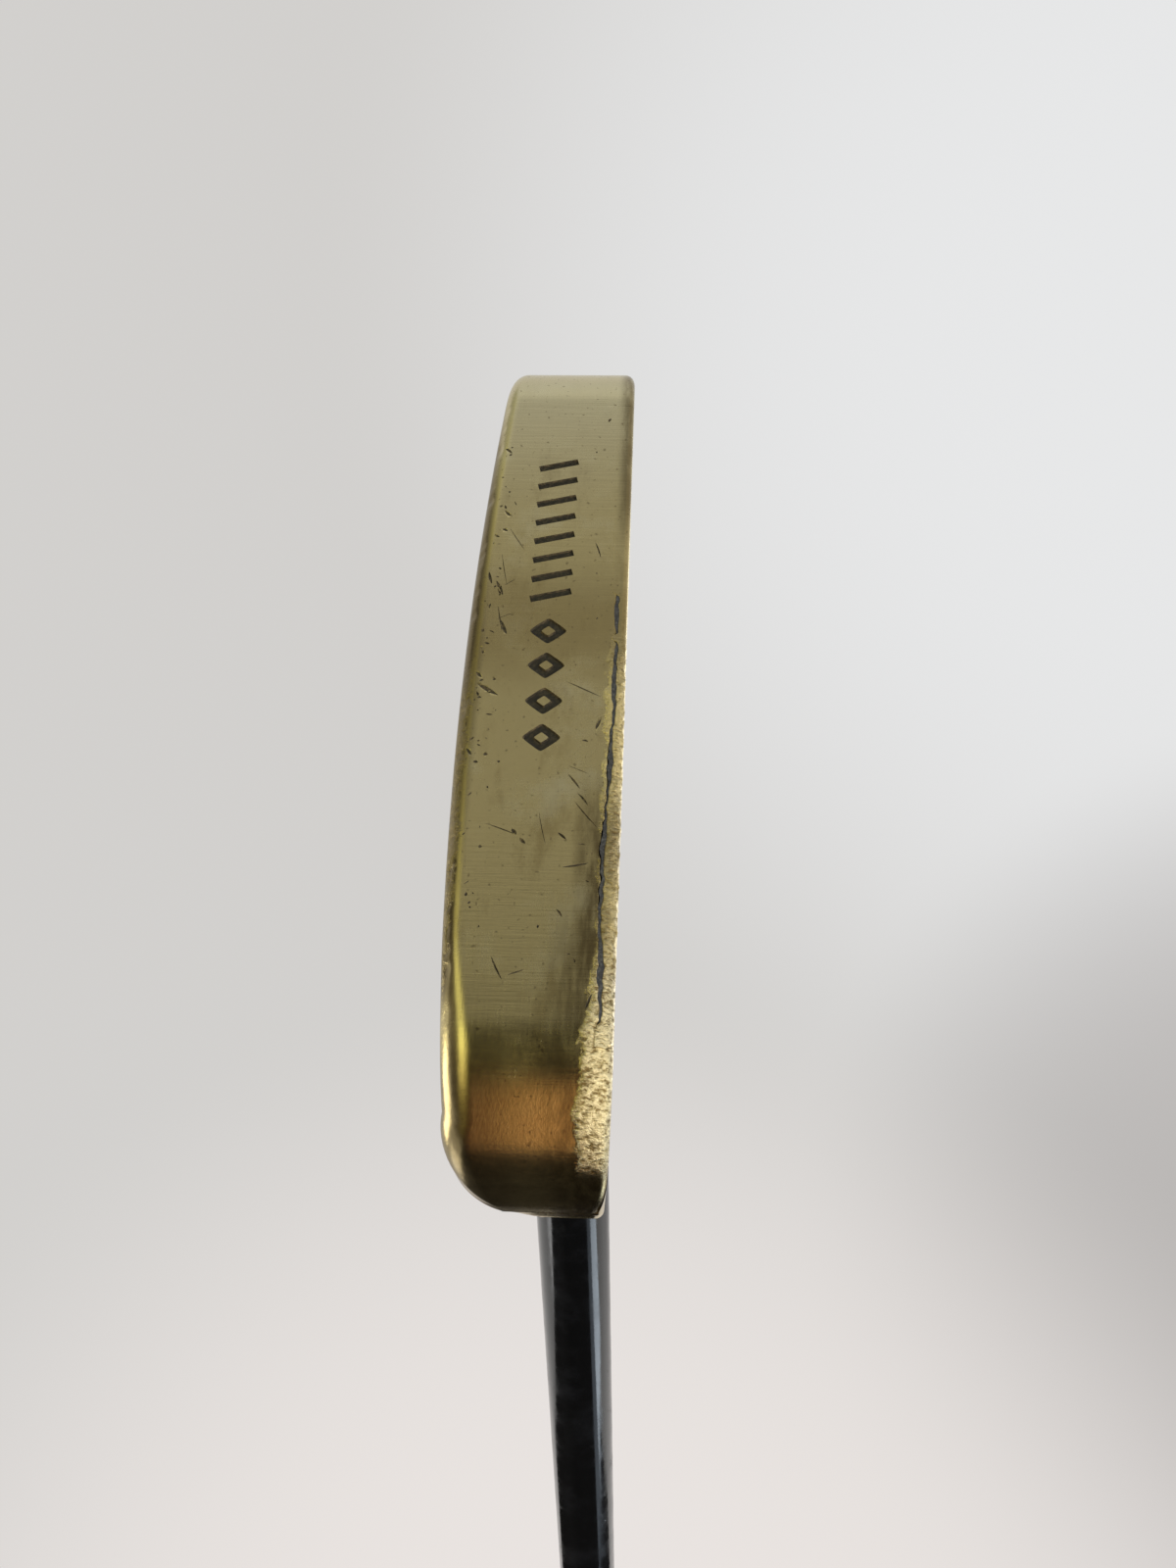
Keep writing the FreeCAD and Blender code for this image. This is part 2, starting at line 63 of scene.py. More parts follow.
Array = np.ndarray
Solid = bpy.types.Object
Socket = bpy.types.NodeSocket
Axes = bpy.types.bpy_prop_collection
Rows = list[tuple[float, float]]
Bands = list[tuple[float, tuple[float, float, float]]]


# ---------------------------------------------------------------- numbers and surfaces

def smooth(low: float, high: float, value: Array) -> Array:
    """Rise from 0 at low to 1 at high along the cubic 3t^2 - 2t^3.

    Args:
        low: where the rise starts.
        high: where the rise ends; it may be the smaller of the two, for a fall.
        value: the numbers to place on the rise.

    Returns:
        The share of the rise reached by each value.
    """
    t = np.clip((np.asarray(value, float) - low) / (high - low), 0.0, 1.0)
    return t * t * (3.0 - 2.0 * t)


def bump(centre: float, width: float, value: Array) -> Array:
    """A bell of height 1 around a centre: exp(-((value - centre) / width)^2)."""
    return np.exp(-(((np.asarray(value, float) - centre) / width) ** 2))


def drop(t: Array) -> Array:
    """How far a quarter circle of radius 1 has fallen after a share t of its run: 1 - sqrt(1 - t^2)."""
    return 1.0 - np.sqrt(1.0 - t**2)


def xyz(x: Array, y: Array, z: Array) -> Array:
    """Three coordinates, spread to one shape and stacked as points, (..., 3)."""
    return np.stack(np.broadcast_arrays(x, y, z), -1)


def soft_min(first: Array, second: Array, blend: float) -> Array:
    """The smaller of two heights, with their crossing rounded.

    Formula: min(a, b) - k * log(1 + exp(-|a - b| / k)).

    Args:
        first: one height.
        second: the other height.
        blend: k, the size of the rounding.

    Returns:
        The blended height.
    """
    gap = np.abs(first - second)
    return np.minimum(first, second) - blend * np.log1p(np.exp(-gap / blend))


def unit(vectors: Array) -> Array:
    """Each vector divided by its length."""
    return vectors / np.maximum(np.linalg.norm(vectors, axis=-1, keepdims=True), 1e-12)


def ripple(points: Array, wave: float, seed: int, count: int = 14) -> Array:
    """Smooth irregular relief: a sum of sine waves that run in random directions.

    Formula: sum over k of sin(2 pi (d_k . p) / w_k + phase_k) / sqrt(count / 2), w_k near the wavelength.

    Args:
        points: places, (..., dimensions).
        wave: the typical wavelength, in the units of the points.
        seed: the draw of directions, wavelengths and phases.
        count: how many waves are added.

    Returns:
        Relief of about unit size, with the shape of points less its last axis.
    """
    draw = np.random.default_rng(seed)
    towards = unit(draw.normal(size=(count, points.shape[-1])))
    lengths = wave * draw.uniform(0.6, 1.7, size=count)
    phase = draw.uniform(0, 2 * math.pi, size=count)
    turns = np.tensordot(points, (towards / lengths[:, None]).T, axes=1)
    return np.sin(2 * math.pi * turns + phase).sum(-1) / math.sqrt(count / 2)


def straight(start: Array, end: Array, count: int) -> Array:
    """Points between two rows of points, ends left out: start + t (end - start).

    Args:
        start: first ends, (stations, 3).
        end: second ends, (stations, 3).
        count: how many points lie on each line.

    Returns:
        The points, (stations, count, 3).
    """
    t = (np.arange(count) + 1.0) / (count + 1.0)
    return start[:, None] + t[None, :, None] * (end - start)[:, None]


def fillet(corner: Array, first: Array, second: Array, radius: Array, count: int,
           hollow: bool = False) -> Array:
    """A rounding in the corner between two planes.

    Formula: the centre is c = P - r (a + b) / (1 + a.b), and the arc is c + r n with n turned from a to
    b; in a hollow corner both signs of r change.

    Args:
        corner: the sharp corner P at each station, (stations, 3).
        first: outward unit normal a of the plane that the arc leaves, (stations, 3).
        second: outward unit normal b of the plane that the arc reaches, (stations, 3).
        radius: r, one number or one for each station.
        count: points on the arc, both tangent points among them.
        hollow: True for an inside corner.

    Returns:
        The arc's points, (stations, count, 3).
    """
    sign = -1.0 if hollow else 1.0
    size = np.broadcast_to(np.asarray(radius, float), corner.shape[:1])[:, None] * sign
    across = (first * second).sum(-1, keepdims=True)
    centre = corner - size * (first + second) / (1.0 + across)
    turn = np.arccos(np.clip(across, -1.0, 1.0))[:, None]
    t = np.linspace(0.0, 1.0, count)[None, :, None]
    flat = np.maximum(np.sin(turn), 1e-6)
    weight_a = np.where(turn < 1e-4, 1.0 - t, np.sin((1.0 - t) * turn) / flat)
    weight_b = np.where(turn < 1e-4, t, np.sin(t * turn) / flat)
    normal = unit(weight_a * first[:, None] + weight_b * second[:, None])
    return centre[:, None] + size[:, None] * normal


def build_piece(name: str, loops: Array, closed: bool = False) -> Solid:
    """Skin a stack of closed loops into one closed surface with its faces outward.

    Args:
        name: the piece's name.
        loops: (stations, points, 3) in millimetres; each loop closes on itself.
        closed: True where the last station joins the first, else both ends get one flat face.

    Returns:
        The new object, at the origin, linked to the scene.
    """
    stations, around = loops.shape[:2]
    index = np.arange(stations * around).reshape(stations, around)
    here = index if closed else index[:-1]
    there = np.roll(index, -1, axis=0) if closed else index[1:]
    quads = np.stack([here, np.roll(here, -1, axis=1), np.roll(there, -1, axis=1), there], -1).reshape(-1, 4)
    flat = loops.reshape(-1, 3)
    a, b, c, d = (flat[quads[:, k]] for k in range(4))
    volume = (np.cross(b - a, c - a) * a).sum() + (np.cross(c - a, d - a) * a).sum()
    caps = [] if closed else [index[0][::-1].tolist(), index[-1].tolist()]
    for cap in caps:
        ring = flat[cap]
        volume += (np.cross(ring[1:-1] - ring[0], ring[2:] - ring[0]) * ring[0]).sum()
    faces = quads.tolist() + caps
    if volume < 0:
        faces = [face[::-1] for face in faces]
    mesh = bpy.data.meshes.new(name)
    mesh.from_pydata((flat * MM).tolist(), [], faces)
    mesh.update()
    soften(mesh)
    piece = bpy.data.objects.new(name, mesh)
    bpy.context.scene.collection.objects.link(piece)
    return piece


def soften(mesh: bpy.types.Mesh) -> None:
    """Shade a mesh smooth, with its creases kept sharp."""
    mesh.shade_smooth()
    mesh.set_sharp_from_angle(angle=CREASE)


def join_pieces(name: str, pieces: list[Solid]) -> Solid:
    """Join several new objects into the first, under one name.

    Args:
        name: the joined object's name.
        pieces: the objects; all but the first are removed.

    Returns:
        The joined object.
    """
    with bpy.context.temp_override(active_object=pieces[0], selected_editable_objects=pieces):
        bpy.ops.object.join()
    pieces[0].name = name
    pieces[0].data.name = name
    return pieces[0]


class Cut(Enum):
    """How a tool body changes the piece that it meets."""

    TAKE_AWAY = "DIFFERENCE"
    ADD = "UNION"


def carve(piece: Solid, tool: Solid, cut: Cut) -> None:
    """Apply a boolean to a piece and remove the tool; the new faces keep the tool's material.

    Args:
        piece: the closed surface that changes.
        tool: the closed surface that cuts it or joins it.
        cut: what the tool does.
    """
    modifier = piece.modifiers.new("carve", "BOOLEAN")
    modifier.operation = cut.value
    modifier.solver = "MANIFOLD"
    modifier.object = tool
    modifier.material_mode = "TRANSFER"
    depsgraph = bpy.context.evaluated_depsgraph_get()
    made = bpy.data.meshes.new_from_object(piece.evaluated_get(depsgraph))
    piece.modifiers.clear()
    old, piece.data = piece.data, made
    bpy.data.meshes.remove(old)
    bpy.data.objects.remove(tool)
    soften(piece.data)


# ---------------------------------------------------------------- finishes

class NodeBench:
    """A node tree with short ways to add nodes and join them."""

    def __init__(self, tree: bpy.types.NodeTree) -> None:
        """Start on an empty tree."""
        self.tree = tree
        tree.nodes.clear()

    def add(self, kind: str, inputs: dict | None = None, **settings: object) -> bpy.types.Node:
        """Add a node, set its properties, and fill or link its inputs.

        Args:
            kind: the node's type without the ShaderNode in front.
            inputs: input name or number to a value or to another node's output.
            settings: the node's own properties.

        Returns:
            The node.
        """
        node = self.tree.nodes.new("ShaderNode" + kind)
        for name, value in settings.items():
            setattr(node, name, value)
        for key, value in (inputs or {}).items():
            if isinstance(value, Socket):
                self.tree.links.new(value, node.inputs[key])
            else:
                node.inputs[key].default_value = value
        return node

    def math(self, operation: str, *values: object) -> Socket:
        """A Math node on values or sockets; gives its output."""
        return self.add("Math", dict(enumerate(values)), operation=operation).outputs[0]

    def plus(self, first: object, second: object) -> Socket:
        """The sum of two values or sockets."""
        return self.math("ADD", first, second)

    def minus(self, first: object, second: object) -> Socket:
        """The first value or socket less the second."""
        return self.math("SUBTRACT", first, second)

    def times(self, *values: object) -> Socket:
        """The product of values or sockets, from first to last."""
        product = values[0]
        for value in values[1:]:
            product = self.math("MULTIPLY", product, value)
        return product

    def ramp(self, value: Socket, low: float, high: float, start: float = 0.0, end: float = 1.0) -> Socket:
        """Map a value from low..high to start..end along a smooth step; gives the result."""
        node = self.add("MapRange", {0: value, 1: low, 2: high, 3: start, 4: end},
                        interpolation_type="SMOOTHSTEP")
        return node.outputs[0]

    def zone(self, axis: Axes, **spans: tuple[float, float]) -> Socket:
        """A region told by its coordinates: the product of one smooth step for each span.

        Args:
            axis: the three parts of the Object coordinate.
            spans: x, y or z to (where the step is 0, where it is 1), in millimetres.

        Returns:
            The mask, 1 inside the region.
        """
        steps = [self.ramp(axis["xyz".index(name)], low * MM, high * MM)
                 for name, (low, high) in spans.items()]
        return self.times(*steps)

    def noise(self, place: Socket, scale: float, detail: float = 3.0, rough: float = 0.5) -> Socket:
        """A noise texture's factor at a place."""
        return self.add("TexNoise", {"Vector": place, "Scale": scale, "Detail": detail,
                                     "Roughness": rough}).outputs[0]

    def streaks(self, place: Socket, scales: tuple[float, float, float], detail: float, rough: float,
                turn: float = 0.0) -> Socket:
        """A noise with a scale of its own along each axis, after a turn about Z in degrees."""
        stretched = self.add("Mapping", {"Vector": place, "Rotation": (0, 0, math.radians(turn)),
                                         "Scale": scales})
        return self.noise(stretched.outputs[0], 1.0, detail, rough)

    def mix(self, factor: object, first: object, second: object) -> Socket:
        """Mix two colours; gives the mixed colour."""
        node = self.add("Mix", {0: factor, 6: first, 7: second}, data_type="RGBA", clamp_factor=True)
        return node.outputs[2]

    def coat(self, colour: object, layers: list[tuple]) -> Socket:
        """Lay colours one over the other, each as (mask, strength, colour)."""
        for mask, strength, over in layers:
            colour = self.mix(self.times(mask, strength), colour, over)
        return colour

    def relief(self, layers: list[tuple]) -> Socket:
        """Stack bumps, each as (height, distance in millimetres, strength); gives the normal."""
        inputs = {}
        for height, distance, strength in layers:
            inputs.update({"Height": height, "Distance": distance * MM, "Strength": strength})
            inputs["Normal"] = self.add("Bump", inputs).outputs[0]
        return inputs["Normal"]


@dataclass(frozen=True)
class Finish:
    """What every finish shares: a name, and a Principled shader on Object coordinates."""

    name: str

    def start(self) -> tuple[bpy.types.Material, NodeBench, Socket]:
        """Make the material.

        Returns:
            The material, its bench and the Object coordinate output.
        """
        material = bpy.data.materials.new(self.name)
        material.use_nodes = True
        bench = NodeBench(material.node_tree)
        return material, bench, bench.add("TexCoord").outputs["Object"]

    def close(self, bench: NodeBench, inputs: dict) -> None:
        """Add the Principled shader with its inputs and join it to the output."""
        shader = bench.add("BsdfPrincipled", inputs)
        bench.add("OutputMaterial", {"Surface": shader.outputs[0]})


@dataclass(frozen=True)
class BrassFinish(Finish):
    """Satin brass, brushed along and across, stained, and nicked and pitted where it meets the ground, with
    painted shade beside the joint, a painted dark reflection behind the heel and a painted highlight on the
    worn strip towards the heel.

    The colours are linear; a tuple of three is a noise's scale along X, Y and Z, per metre.
    """

    clean: tuple = (0.60, 0.495, 0.235, 1.0)
    stained: tuple = (0.36, 0.27, 0.11, 1.0)
    pale: tuple = (0.72, 0.66, 0.44, 1.0)
    speck: tuple = (0.14, 0.095, 0.045, 1.0)
    # painted shade colour, laid beside the joint and along the leading edge at the toe
    painted_shade_colour: tuple = (0.17, 0.125, 0.055, 1.0)
    # painted dark reflection colour, laid on the sole behind the heel
    heel_dark_reflection_colour: tuple = (0.19, 0.14, 0.075, 1.0)
    aged: tuple = (0.17, 0.13, 0.062, 1.0)
    # rubbed brass, laid stronger towards the heel as a painted highlight
    rubbed_and_highlit: tuple = (0.88, 0.78, 0.50, 1.0)
    pitted: tuple = (0.20, 0.14, 0.06, 1.0)
    lines_along: tuple = (75, 2600, 2600)
    fine_along: tuple = (220, 9000, 9000)
    lines_across: tuple = (2600, 110, 700)
    across_turn: float = 8.0
    blotches: tuple = (70, 180, 120)
    smears: tuple = (160, 700, 400)
    crumbs: tuple = (2700, 1150, 1700)
    crumbs_turn: float = 25.0
    clouds: float = 95.0
    specks: float = 1700.0
    frayed: float = 420.0
    fray: float = 0.0030
    smoothest: float = 0.13
    arc_start: float = 0.043
    arc_radius: float = 0.016

    def make(self) -> bpy.types.Material:
        """Build the material and give it back."""
        material, bench, place = self.start()
        axis = bench.add("SeparateXYZ", {0: place}).outputs
        worn = self.worn_strips(bench, place, axis)
        cloud = bench.noise(place, self.clouds, 5.0, 0.62)
        crumbs = bench.streaks(place, self.crumbs, 4.0, 0.7, self.crumbs_turn)
        along = bench.streaks(place, self.lines_along, 4.0, 0.6)
        fine = bench.streaks(place, self.fine_along, 2.0, 0.6)
        across = bench.streaks(place, self.lines_across, 4.0, 0.65, self.across_turn)
        hazy = bench.ramp(cloud, 0.35, 0.7)
        roughness = self.smoothest
        for mask, share in ((along, 0.09), (across, 0.09), (hazy, 0.07), (worn, 0.08)):
            roughness = bench.plus(roughness, bench.times(mask, share))
        normal = bench.relief([(along, 0.030, 0.4), (fine, 0.010, 0.4), (across, 0.030, 0.55),
                               (bench.times(worn, crumbs), 0.30, 0.85)])
        colour = bench.coat(self.clean, self.stains(bench, place, axis, cloud)
                            + self.wear(bench, axis, worn, crumbs))
        self.close(bench, {"Base Color": colour, "Metallic": 1.0, "Roughness": roughness, "Normal": normal})
        return material

    def stains(self, bench: NodeBench, place: Socket, axis: Axes, cloud: Socket) -> list[tuple]:
        """What lies on the metal: blotches, a paler toe, a dull patch near the middle and specks; then
        painted shade beside the joint and along the leading edge at the toe.

        Args:
            bench: the material's bench.
            place: the Object coordinate.
            axis: its three parts.
            cloud: the noise that the paler clouds share with the dull patch's edge.

        Returns:
            The layers, each as (mask, strength, colour).
        """
        blotch = bench.streaks(place, self.blotches, 5.0, 0.7)
        specks = bench.noise(place, self.specks, 2.0, 0.4)
        along = bench.plus(axis[0], bench.times(cloud, 0.010))
        dull = bench.times(bench.ramp(along, -0.016, -0.006), bench.ramp(along, 0.008, -0.002))
        return [
            (bench.ramp(blotch, 0.50, 0.72), 0.62, self.stained),
            (bench.ramp(cloud, 0.50, 0.75), 0.45, self.pale),
            (bench.zone(axis, x=(-20, -56)), 0.75, self.pale),
            (dull, 0.60, self.stained),
            (bench.ramp(specks, 0.66, 0.74), 0.5, self.speck),
            # painted shade beside the joint and along the leading edge at the toe
            (self.painted_shade_band(bench, place, axis), 1.0, self.painted_shade_colour),
        ]

    def wear(self, bench: NodeBench, axis: Axes, worn: Socket, crumbs: Socket) -> list[tuple]:
        """The worn strips, with a painted dark reflection behind the heel: darker along the old back edge,
        rubbed bright (with a painted highlight growing towards the heel), pitted.

        Args:
            bench: the material's bench.
            axis: the three parts of the Object coordinate.
            worn: where the brass is pitted.
            crumbs: the noise of the pitting.

        Returns:
            The layers, each as (mask, strength, colour).
        """
        # painted dark reflection: the sole behind the heel is darkened as if it mirrored something dark
        heel_dark_reflection_mask = bench.zone(axis, x=(43, 50), y=(-3, 6))
        old = bench.zone(axis, x=(44.5, 38.5), y=(7.2, 8.6))
        fresh = bench.minus(1.0, bench.times(old, 0.95))
        # painted highlight: the rubbed colour grows from 0.22 to full strength towards the heel
        to_heel = bench.ramp(axis[0], 0.030, 0.047, 0.22, 1.0)
        return [
            (heel_dark_reflection_mask, 0.75, self.heel_dark_reflection_colour),
            (old, 0.88, self.aged),
            (bench.times(worn, fresh, bench.ramp(crumbs, 0.36, 0.60)), to_heel, self.rubbed_and_highlit),
            (bench.times(worn, bench.ramp(crumbs, 0.46, 0.34)), 0.8, self.pitted),
        ]

    def painted_shade_band(self, bench: NodeBench, place: Socket, axis: Axes) -> Socket:
        """Where painted shade lies: beside the joint, wider towards the heel, and along the leading edge at
        the toe.

        Args:
            bench: the material's bench.
            place: the Object coordinate.
            axis: its three parts.

        Returns:
            The mask, 0 on clean metal.
        """
        beside = bench.zone(axis, x=(10, 22), y=(-4.2, -6.6))
        wide = bench.times(bench.zone(axis, x=(24, 40), y=(-1.2, -5.2)), 0.75)
        toe = bench.times(bench.zone(axis, x=(-18, -30), y=(-7.6, -9.4)), 0.80)
        band = bench.math("MAXIMUM", bench.math("MAXIMUM", beside, wide), toe)
        low = bench.ramp(self.above_sole(bench, axis), 0.004, 0.002)
        uneven = bench.streaks(place, self.smears, 4.0, 0.6)
        return bench.times(band, low, bench.ramp(uneven, 0.30, 0.62, 0.30, 0.92))

    def worn_strips(self, bench: NodeBench, place: Socket, axis: Axes) -> Socket:
        """Where the brass is pitted: along the leading edge, wide at the heel, and along the back edge.

        Args:
            bench: the material's bench.
            place: the Object coordinate.
            axis: its three parts.

        Returns:
            The mask, 0 on sound metal and 1 on pitted metal.
        """
        frayed = bench.times(bench.noise(place, self.frayed, 5.0, 0.7), self.fray)
        depth = bench.minus(bench.plus(axis[1], frayed), self.fray / 2)
        reach = bench.ramp(axis[0], 0.030, 0.056, -0.0080, -0.0062)
        lead = bench.times(bench.ramp(bench.minus(reach, depth), -0.0004, 0.0005),
                           bench.zone(axis, x=(-10, 4)), bench.zone(axis, x=(57.8, 56.2)))
        rear = bench.times(bench.ramp(depth, 0.0084, 0.0092), bench.zone(axis, x=(-6, 4)))
        low = bench.ramp(bench.plus(self.above_sole(bench, axis), frayed), 0.0040, 0.0024)
        return bench.times(bench.math("MAXIMUM", lead, rear), low)

    def above_sole(self, bench: NodeBench, axis: Axes) -> Socket:
        """Height above the sole in metres; at the heel the sole rises by r (1 - sqrt(1 - t^2))."""
        arc_end = self.arc_start + self.arc_radius
        t = bench.add("MapRange", {0: axis[0], 1: self.arc_start, 2: arc_end}).outputs[0]
        root = bench.math("SQRT", bench.minus(1.0, bench.times(t, t)))
        return bench.minus(axis[2], bench.times(bench.minus(1.0, root), self.arc_radius))


@dataclass(frozen=True)
class ShaftFinish(Finish):
    """Gloss black plating over steel, with faint clouding and hairline scuffs."""

    colour: tuple = (0.0030, 0.0034, 0.0042, 1.0)
    clouded: tuple = (0.007, 0.008, 0.011, 1.0)
    clouds: float = 160.0
    scuffs: tuple = (900, 900, 60)
    smoothest: float = 0.10

    def make(self) -> bpy.types.Material:
        """Build the material and give it back."""
        material, bench, place = self.start()
        cloud = bench.noise(place, self.clouds, 5.0, 0.65)
        scuff = bench.streaks(place, self.scuffs, 4.0, 0.6)
        colour = bench.mix(bench.ramp(cloud, 0.48, 0.75), self.colour, self.clouded)
        gloss = bench.plus(bench.times(bench.ramp(cloud, 0.4, 0.7), 0.10), self.smoothest)
        gloss = bench.plus(gloss, bench.times(bench.ramp(scuff, 0.60, 0.75), 0.12))
        normal = bench.relief([(cloud, 0.06, 0.35), (scuff, 0.008, 0.3)])
        self.close(bench, {"Base Color": colour, "Roughness": gloss, "Specular IOR Level": 0.40,
                           "Normal": normal})
        return material


@dataclass(frozen=True)
class RubberFinish(Finish):
    """Black moulded rubber: matt, slightly dusty, with a fine grain."""

    colour: tuple = (0.022, 0.022, 0.024, 1.0)
    dusty: tuple = (0.075, 0.072, 0.068, 1.0)
    grain: float = 3200.0
    dust: float = 55.0
    smoothest: float = 0.48

    def make(self) -> bpy.types.Material:
        """Build the material and give it back."""
        material, bench, place = self.start()
        grain = bench.noise(place, self.grain, 3.0, 0.6)
        dust = bench.noise(place, self.dust, 5.0, 0.65)
        colour = bench.coat(self.colour, [(bench.ramp(dust, 0.46, 0.78), 0.6, self.dusty)])
        matt = bench.plus(bench.times(grain, 0.20), self.smoothest)
        self.close(bench, {"Base Color": colour, "Roughness": matt, "Specular IOR Level": 0.4,
                           "Normal": bench.relief([(grain, 0.05, 0.5)])})
        return material


@dataclass(frozen=True)
class FillFinish(Finish):
    """A dull fill, such as adhesive, grime or paint, with lumps and colour patches of its own."""

    colour: tuple
    patch: tuple
    roughness: float
    grain: float

    def make(self) -> bpy.types.Material:
        """Build the material and give it back."""
        material, bench, place = self.start()
        lumps = bench.noise(place, self.grain, 4.0, 0.65)
        colour = bench.mix(bench.ramp(lumps, 0.42, 0.70), self.colour, self.patch)
        matt = bench.plus(bench.times(lumps, 0.25), self.roughness - 0.12)
        self.close(bench, {"Base Color": colour, "Roughness": matt,
                           "Normal": bench.relief([(lumps, 0.12, 0.6)])})
        return material


# dark finish for the walls of the cuts: dirt, and painted shade in the recesses
CUT_DIRT_AND_SHADE = FillFinish("cut_dirt_and_shade", (0.030, 0.024, 0.014, 1.0), (0.13, 0.10, 0.055, 1.0), 0.62, 1900.0)
BOND = FillFinish("bond_grey", (0.032, 0.034, 0.045, 1.0), (0.105, 0.110, 0.130, 1.0), 0.60, 2600.0)
MARK_DARK = FillFinish("mark_dark", (0.012, 0.011, 0.009, 1.0), (0.05, 0.042, 0.028, 1.0), 0.75, 2200.0)
SIGHT_WHITE = FillFinish("sight_white", (0.74, 0.73, 0.70, 1.0), (0.55, 0.52, 0.45, 1.0), 0.5, 900.0)
EPOXY = FillFinish("epoxy_amber", (0.35, 0.24, 0.09, 1.0), (0.50, 0.38, 0.18, 1.0), 0.45, 1200.0)
TAPE = FillFinish("tape_cream", (0.62, 0.57, 0.44, 1.0), (0.50, 0.45, 0.33, 1.0), 0.7, 2500.0)
CAP_RUBBER = RubberFinish("cap_black", (0.016, 0.016, 0.018, 1.0), (0.05, 0.05, 0.05, 1.0))


def paint(piece: Solid, finish: Finish) -> None:
    """Give a piece its only material."""
    piece.data.materials.clear()
    piece.data.materials.append(finish.make())


def dress(piece: Solid, finish: Finish) -> None:
    """Give a piece its only material.

    Args:
        piece: the object.
        finish: what makes the material.
    """
    paint(piece, finish)


# ---------------------------------------------------------------- the blade

@dataclass
class BladeForm:
    """The blade's outlines, in millimetres: plan, front profile, section and the joint's path."""

    half: float
    deep: float
    toe_height: float = 25.5
    heel_height: float = 23.5
    bow_radius: float = 620.0
    bow_middle: float = 5.0
    heel_round: float = 16.0
    toe_round: float = 12.0
    heel_top_round: float = 5.0
    toe_top_round: float = 6.0
    heel_corner: float = 6.0
    toe_corner: float = 4.0
    loft: float = math.radians(3.0)
    topline: float = 8.0
    flange: float = 8.0
    heel_weight: float = 30.0
    toe_weight: float = 27.0
    weight_front: float = 20.0
    weight_back: float = 12.5
    wall_run: float = 3.2
    neck_root: float = 12.0
    neck_flare: float = 1.0
    toe_front_long: float = 8.0
    toe_front_deep: float = 3.2
    heel_front_long: float = 2.0
    heel_front_deep: float = 0.9
    lead_round: float = 0.8
    rear_round: float = 2.2
    rear_round_heel: float = 3.6
    deck_round: float = 1.1
    deck_blend: float = 0.15
    hollow_round: float = 2.0
    rim_round: float = 0.7
    crown_round: float = 0.6
    insert_margin: float = 13.0
    insert_top: float = 19.5
    insert_corner: float = 4.0
    insert_gap: float = 0.12
    insert_foot: float = 1.4
    pocket_depth: float = 2.05
    joint_start: float = -13.5
    joint_end: float = 43.9
    joint_behind: float = 1.30
    joint_bow: float = 0.72
    joint_wide: float = 0.43
    joint_least: float = 0.16
    joint_shut_at: float = -6.9
    wave_long: float = 9.0
    wave_high: float = 0.012
    worn_wide: float = 1.2
    worn_wider: float = 2.8
    worn_narrower: float = 0.9
    worn_low: float = 0.10
    worn_high: float = 0.85

    def front(self, height: Array) -> Array:
        """Y of the face at a height: it leans back by the loft from the leading edge."""
        return -self.deep + np.asarray(height, float) * math.tan(self.loft)

    def ahead(self, x: Array) -> Array:
        """Outward unit normal of the face at each station, (stations, 3)."""
        return xyz(0 * x, -math.cos(self.loft), math.sin(self.loft))

    def passed(self, x: Array, way: int, run: float) -> Array:
        """The share of the last run before one end, heel for +1 and toe for -1, that x has passed."""
        return np.clip((way * x - (self.half - run)) / run, 0.0, 1.0)

    def ends(self, x: Array, toe_round: float, heel_round: float, way: int) -> tuple[Array, Array]:
        """Two quarter arcs that turn a long edge in at the blade's ends.

        Args:
            x: stations along the blade.
            toe_round: the arc's radius at the toe.
            heel_round: the arc's radius at the heel.
            way: +1 for an edge that looks up, -1 for one that looks down.

        Returns:
            How far the edge has moved in, and the outward unit normal, (stations, 3).
        """
        toe, heel = self.passed(x, -1, toe_round), self.passed(x, 1, heel_round)
        side = heel - toe
        normal = xyz(side, 0.0, way * np.sqrt(np.clip(1 - side**2, 0.0, 1.0)))
        return toe_round * drop(toe) + heel_round * drop(heel), unit(normal)

    def back(self, x: Array) -> tuple[Array, Array]:
        """The back edge in plan: a long bow with a round corner at each end.

        Formula: y = deep - R + sqrt(R^2 - (x - x0)^2); in a corner of radius r that starts at height y1
        with slope s, y = y1 - r (1 - sqrt(1 - t^2)) - s r t (1 - t), with t the share of the corner passed.

        Args:
            x: stations along the blade.

        Returns:
            Y of the edge, and the outward unit normal, (stations, 3).
        """
        off = x - self.bow_middle
        y = self.deep - self.bow_radius + np.sqrt(self.bow_radius**2 - off**2)
        side = off / self.bow_radius
        for way, radius in ((1, self.heel_corner), (-1, self.toe_corner)):
            past = self.passed(x, way, radius)
            start = way * (self.half - radius) - self.bow_middle
            edge = self.deep - self.bow_radius + math.sqrt(self.bow_radius**2 - start**2)
            slope = abs(start) / self.bow_radius
            turned = edge - radius * drop(past) - slope * radius * past * (1 - past)
            y = np.where(past > 0, turned, y)
            side = np.where(past > 0, way * np.maximum(past, slope), side)
        return y, unit(xyz(side, np.sqrt(np.clip(1.0 - side**2, 0.0, 1.0)), 0.0))

    def bottom(self, x: Array) -> tuple[Array, Array]:
        """Height and outward normal of the sole: flat, rising along an arc at the toe and at the heel."""
        return self.ends(x, self.toe_round, self.heel_round, -1)

    def top(self, x: Array) -> tuple[Array, Array]:
        """Height and outward normal of the top line: a slope from toe to heel with a corner at each end."""
        share = (x + self.half) / (2 * self.half)
        fallen, normal = self.ends(x, self.toe_top_round, self.heel_top_round, 1)
        return self.toe_height + share * (self.heel_height - self.toe_height) - fallen, normal

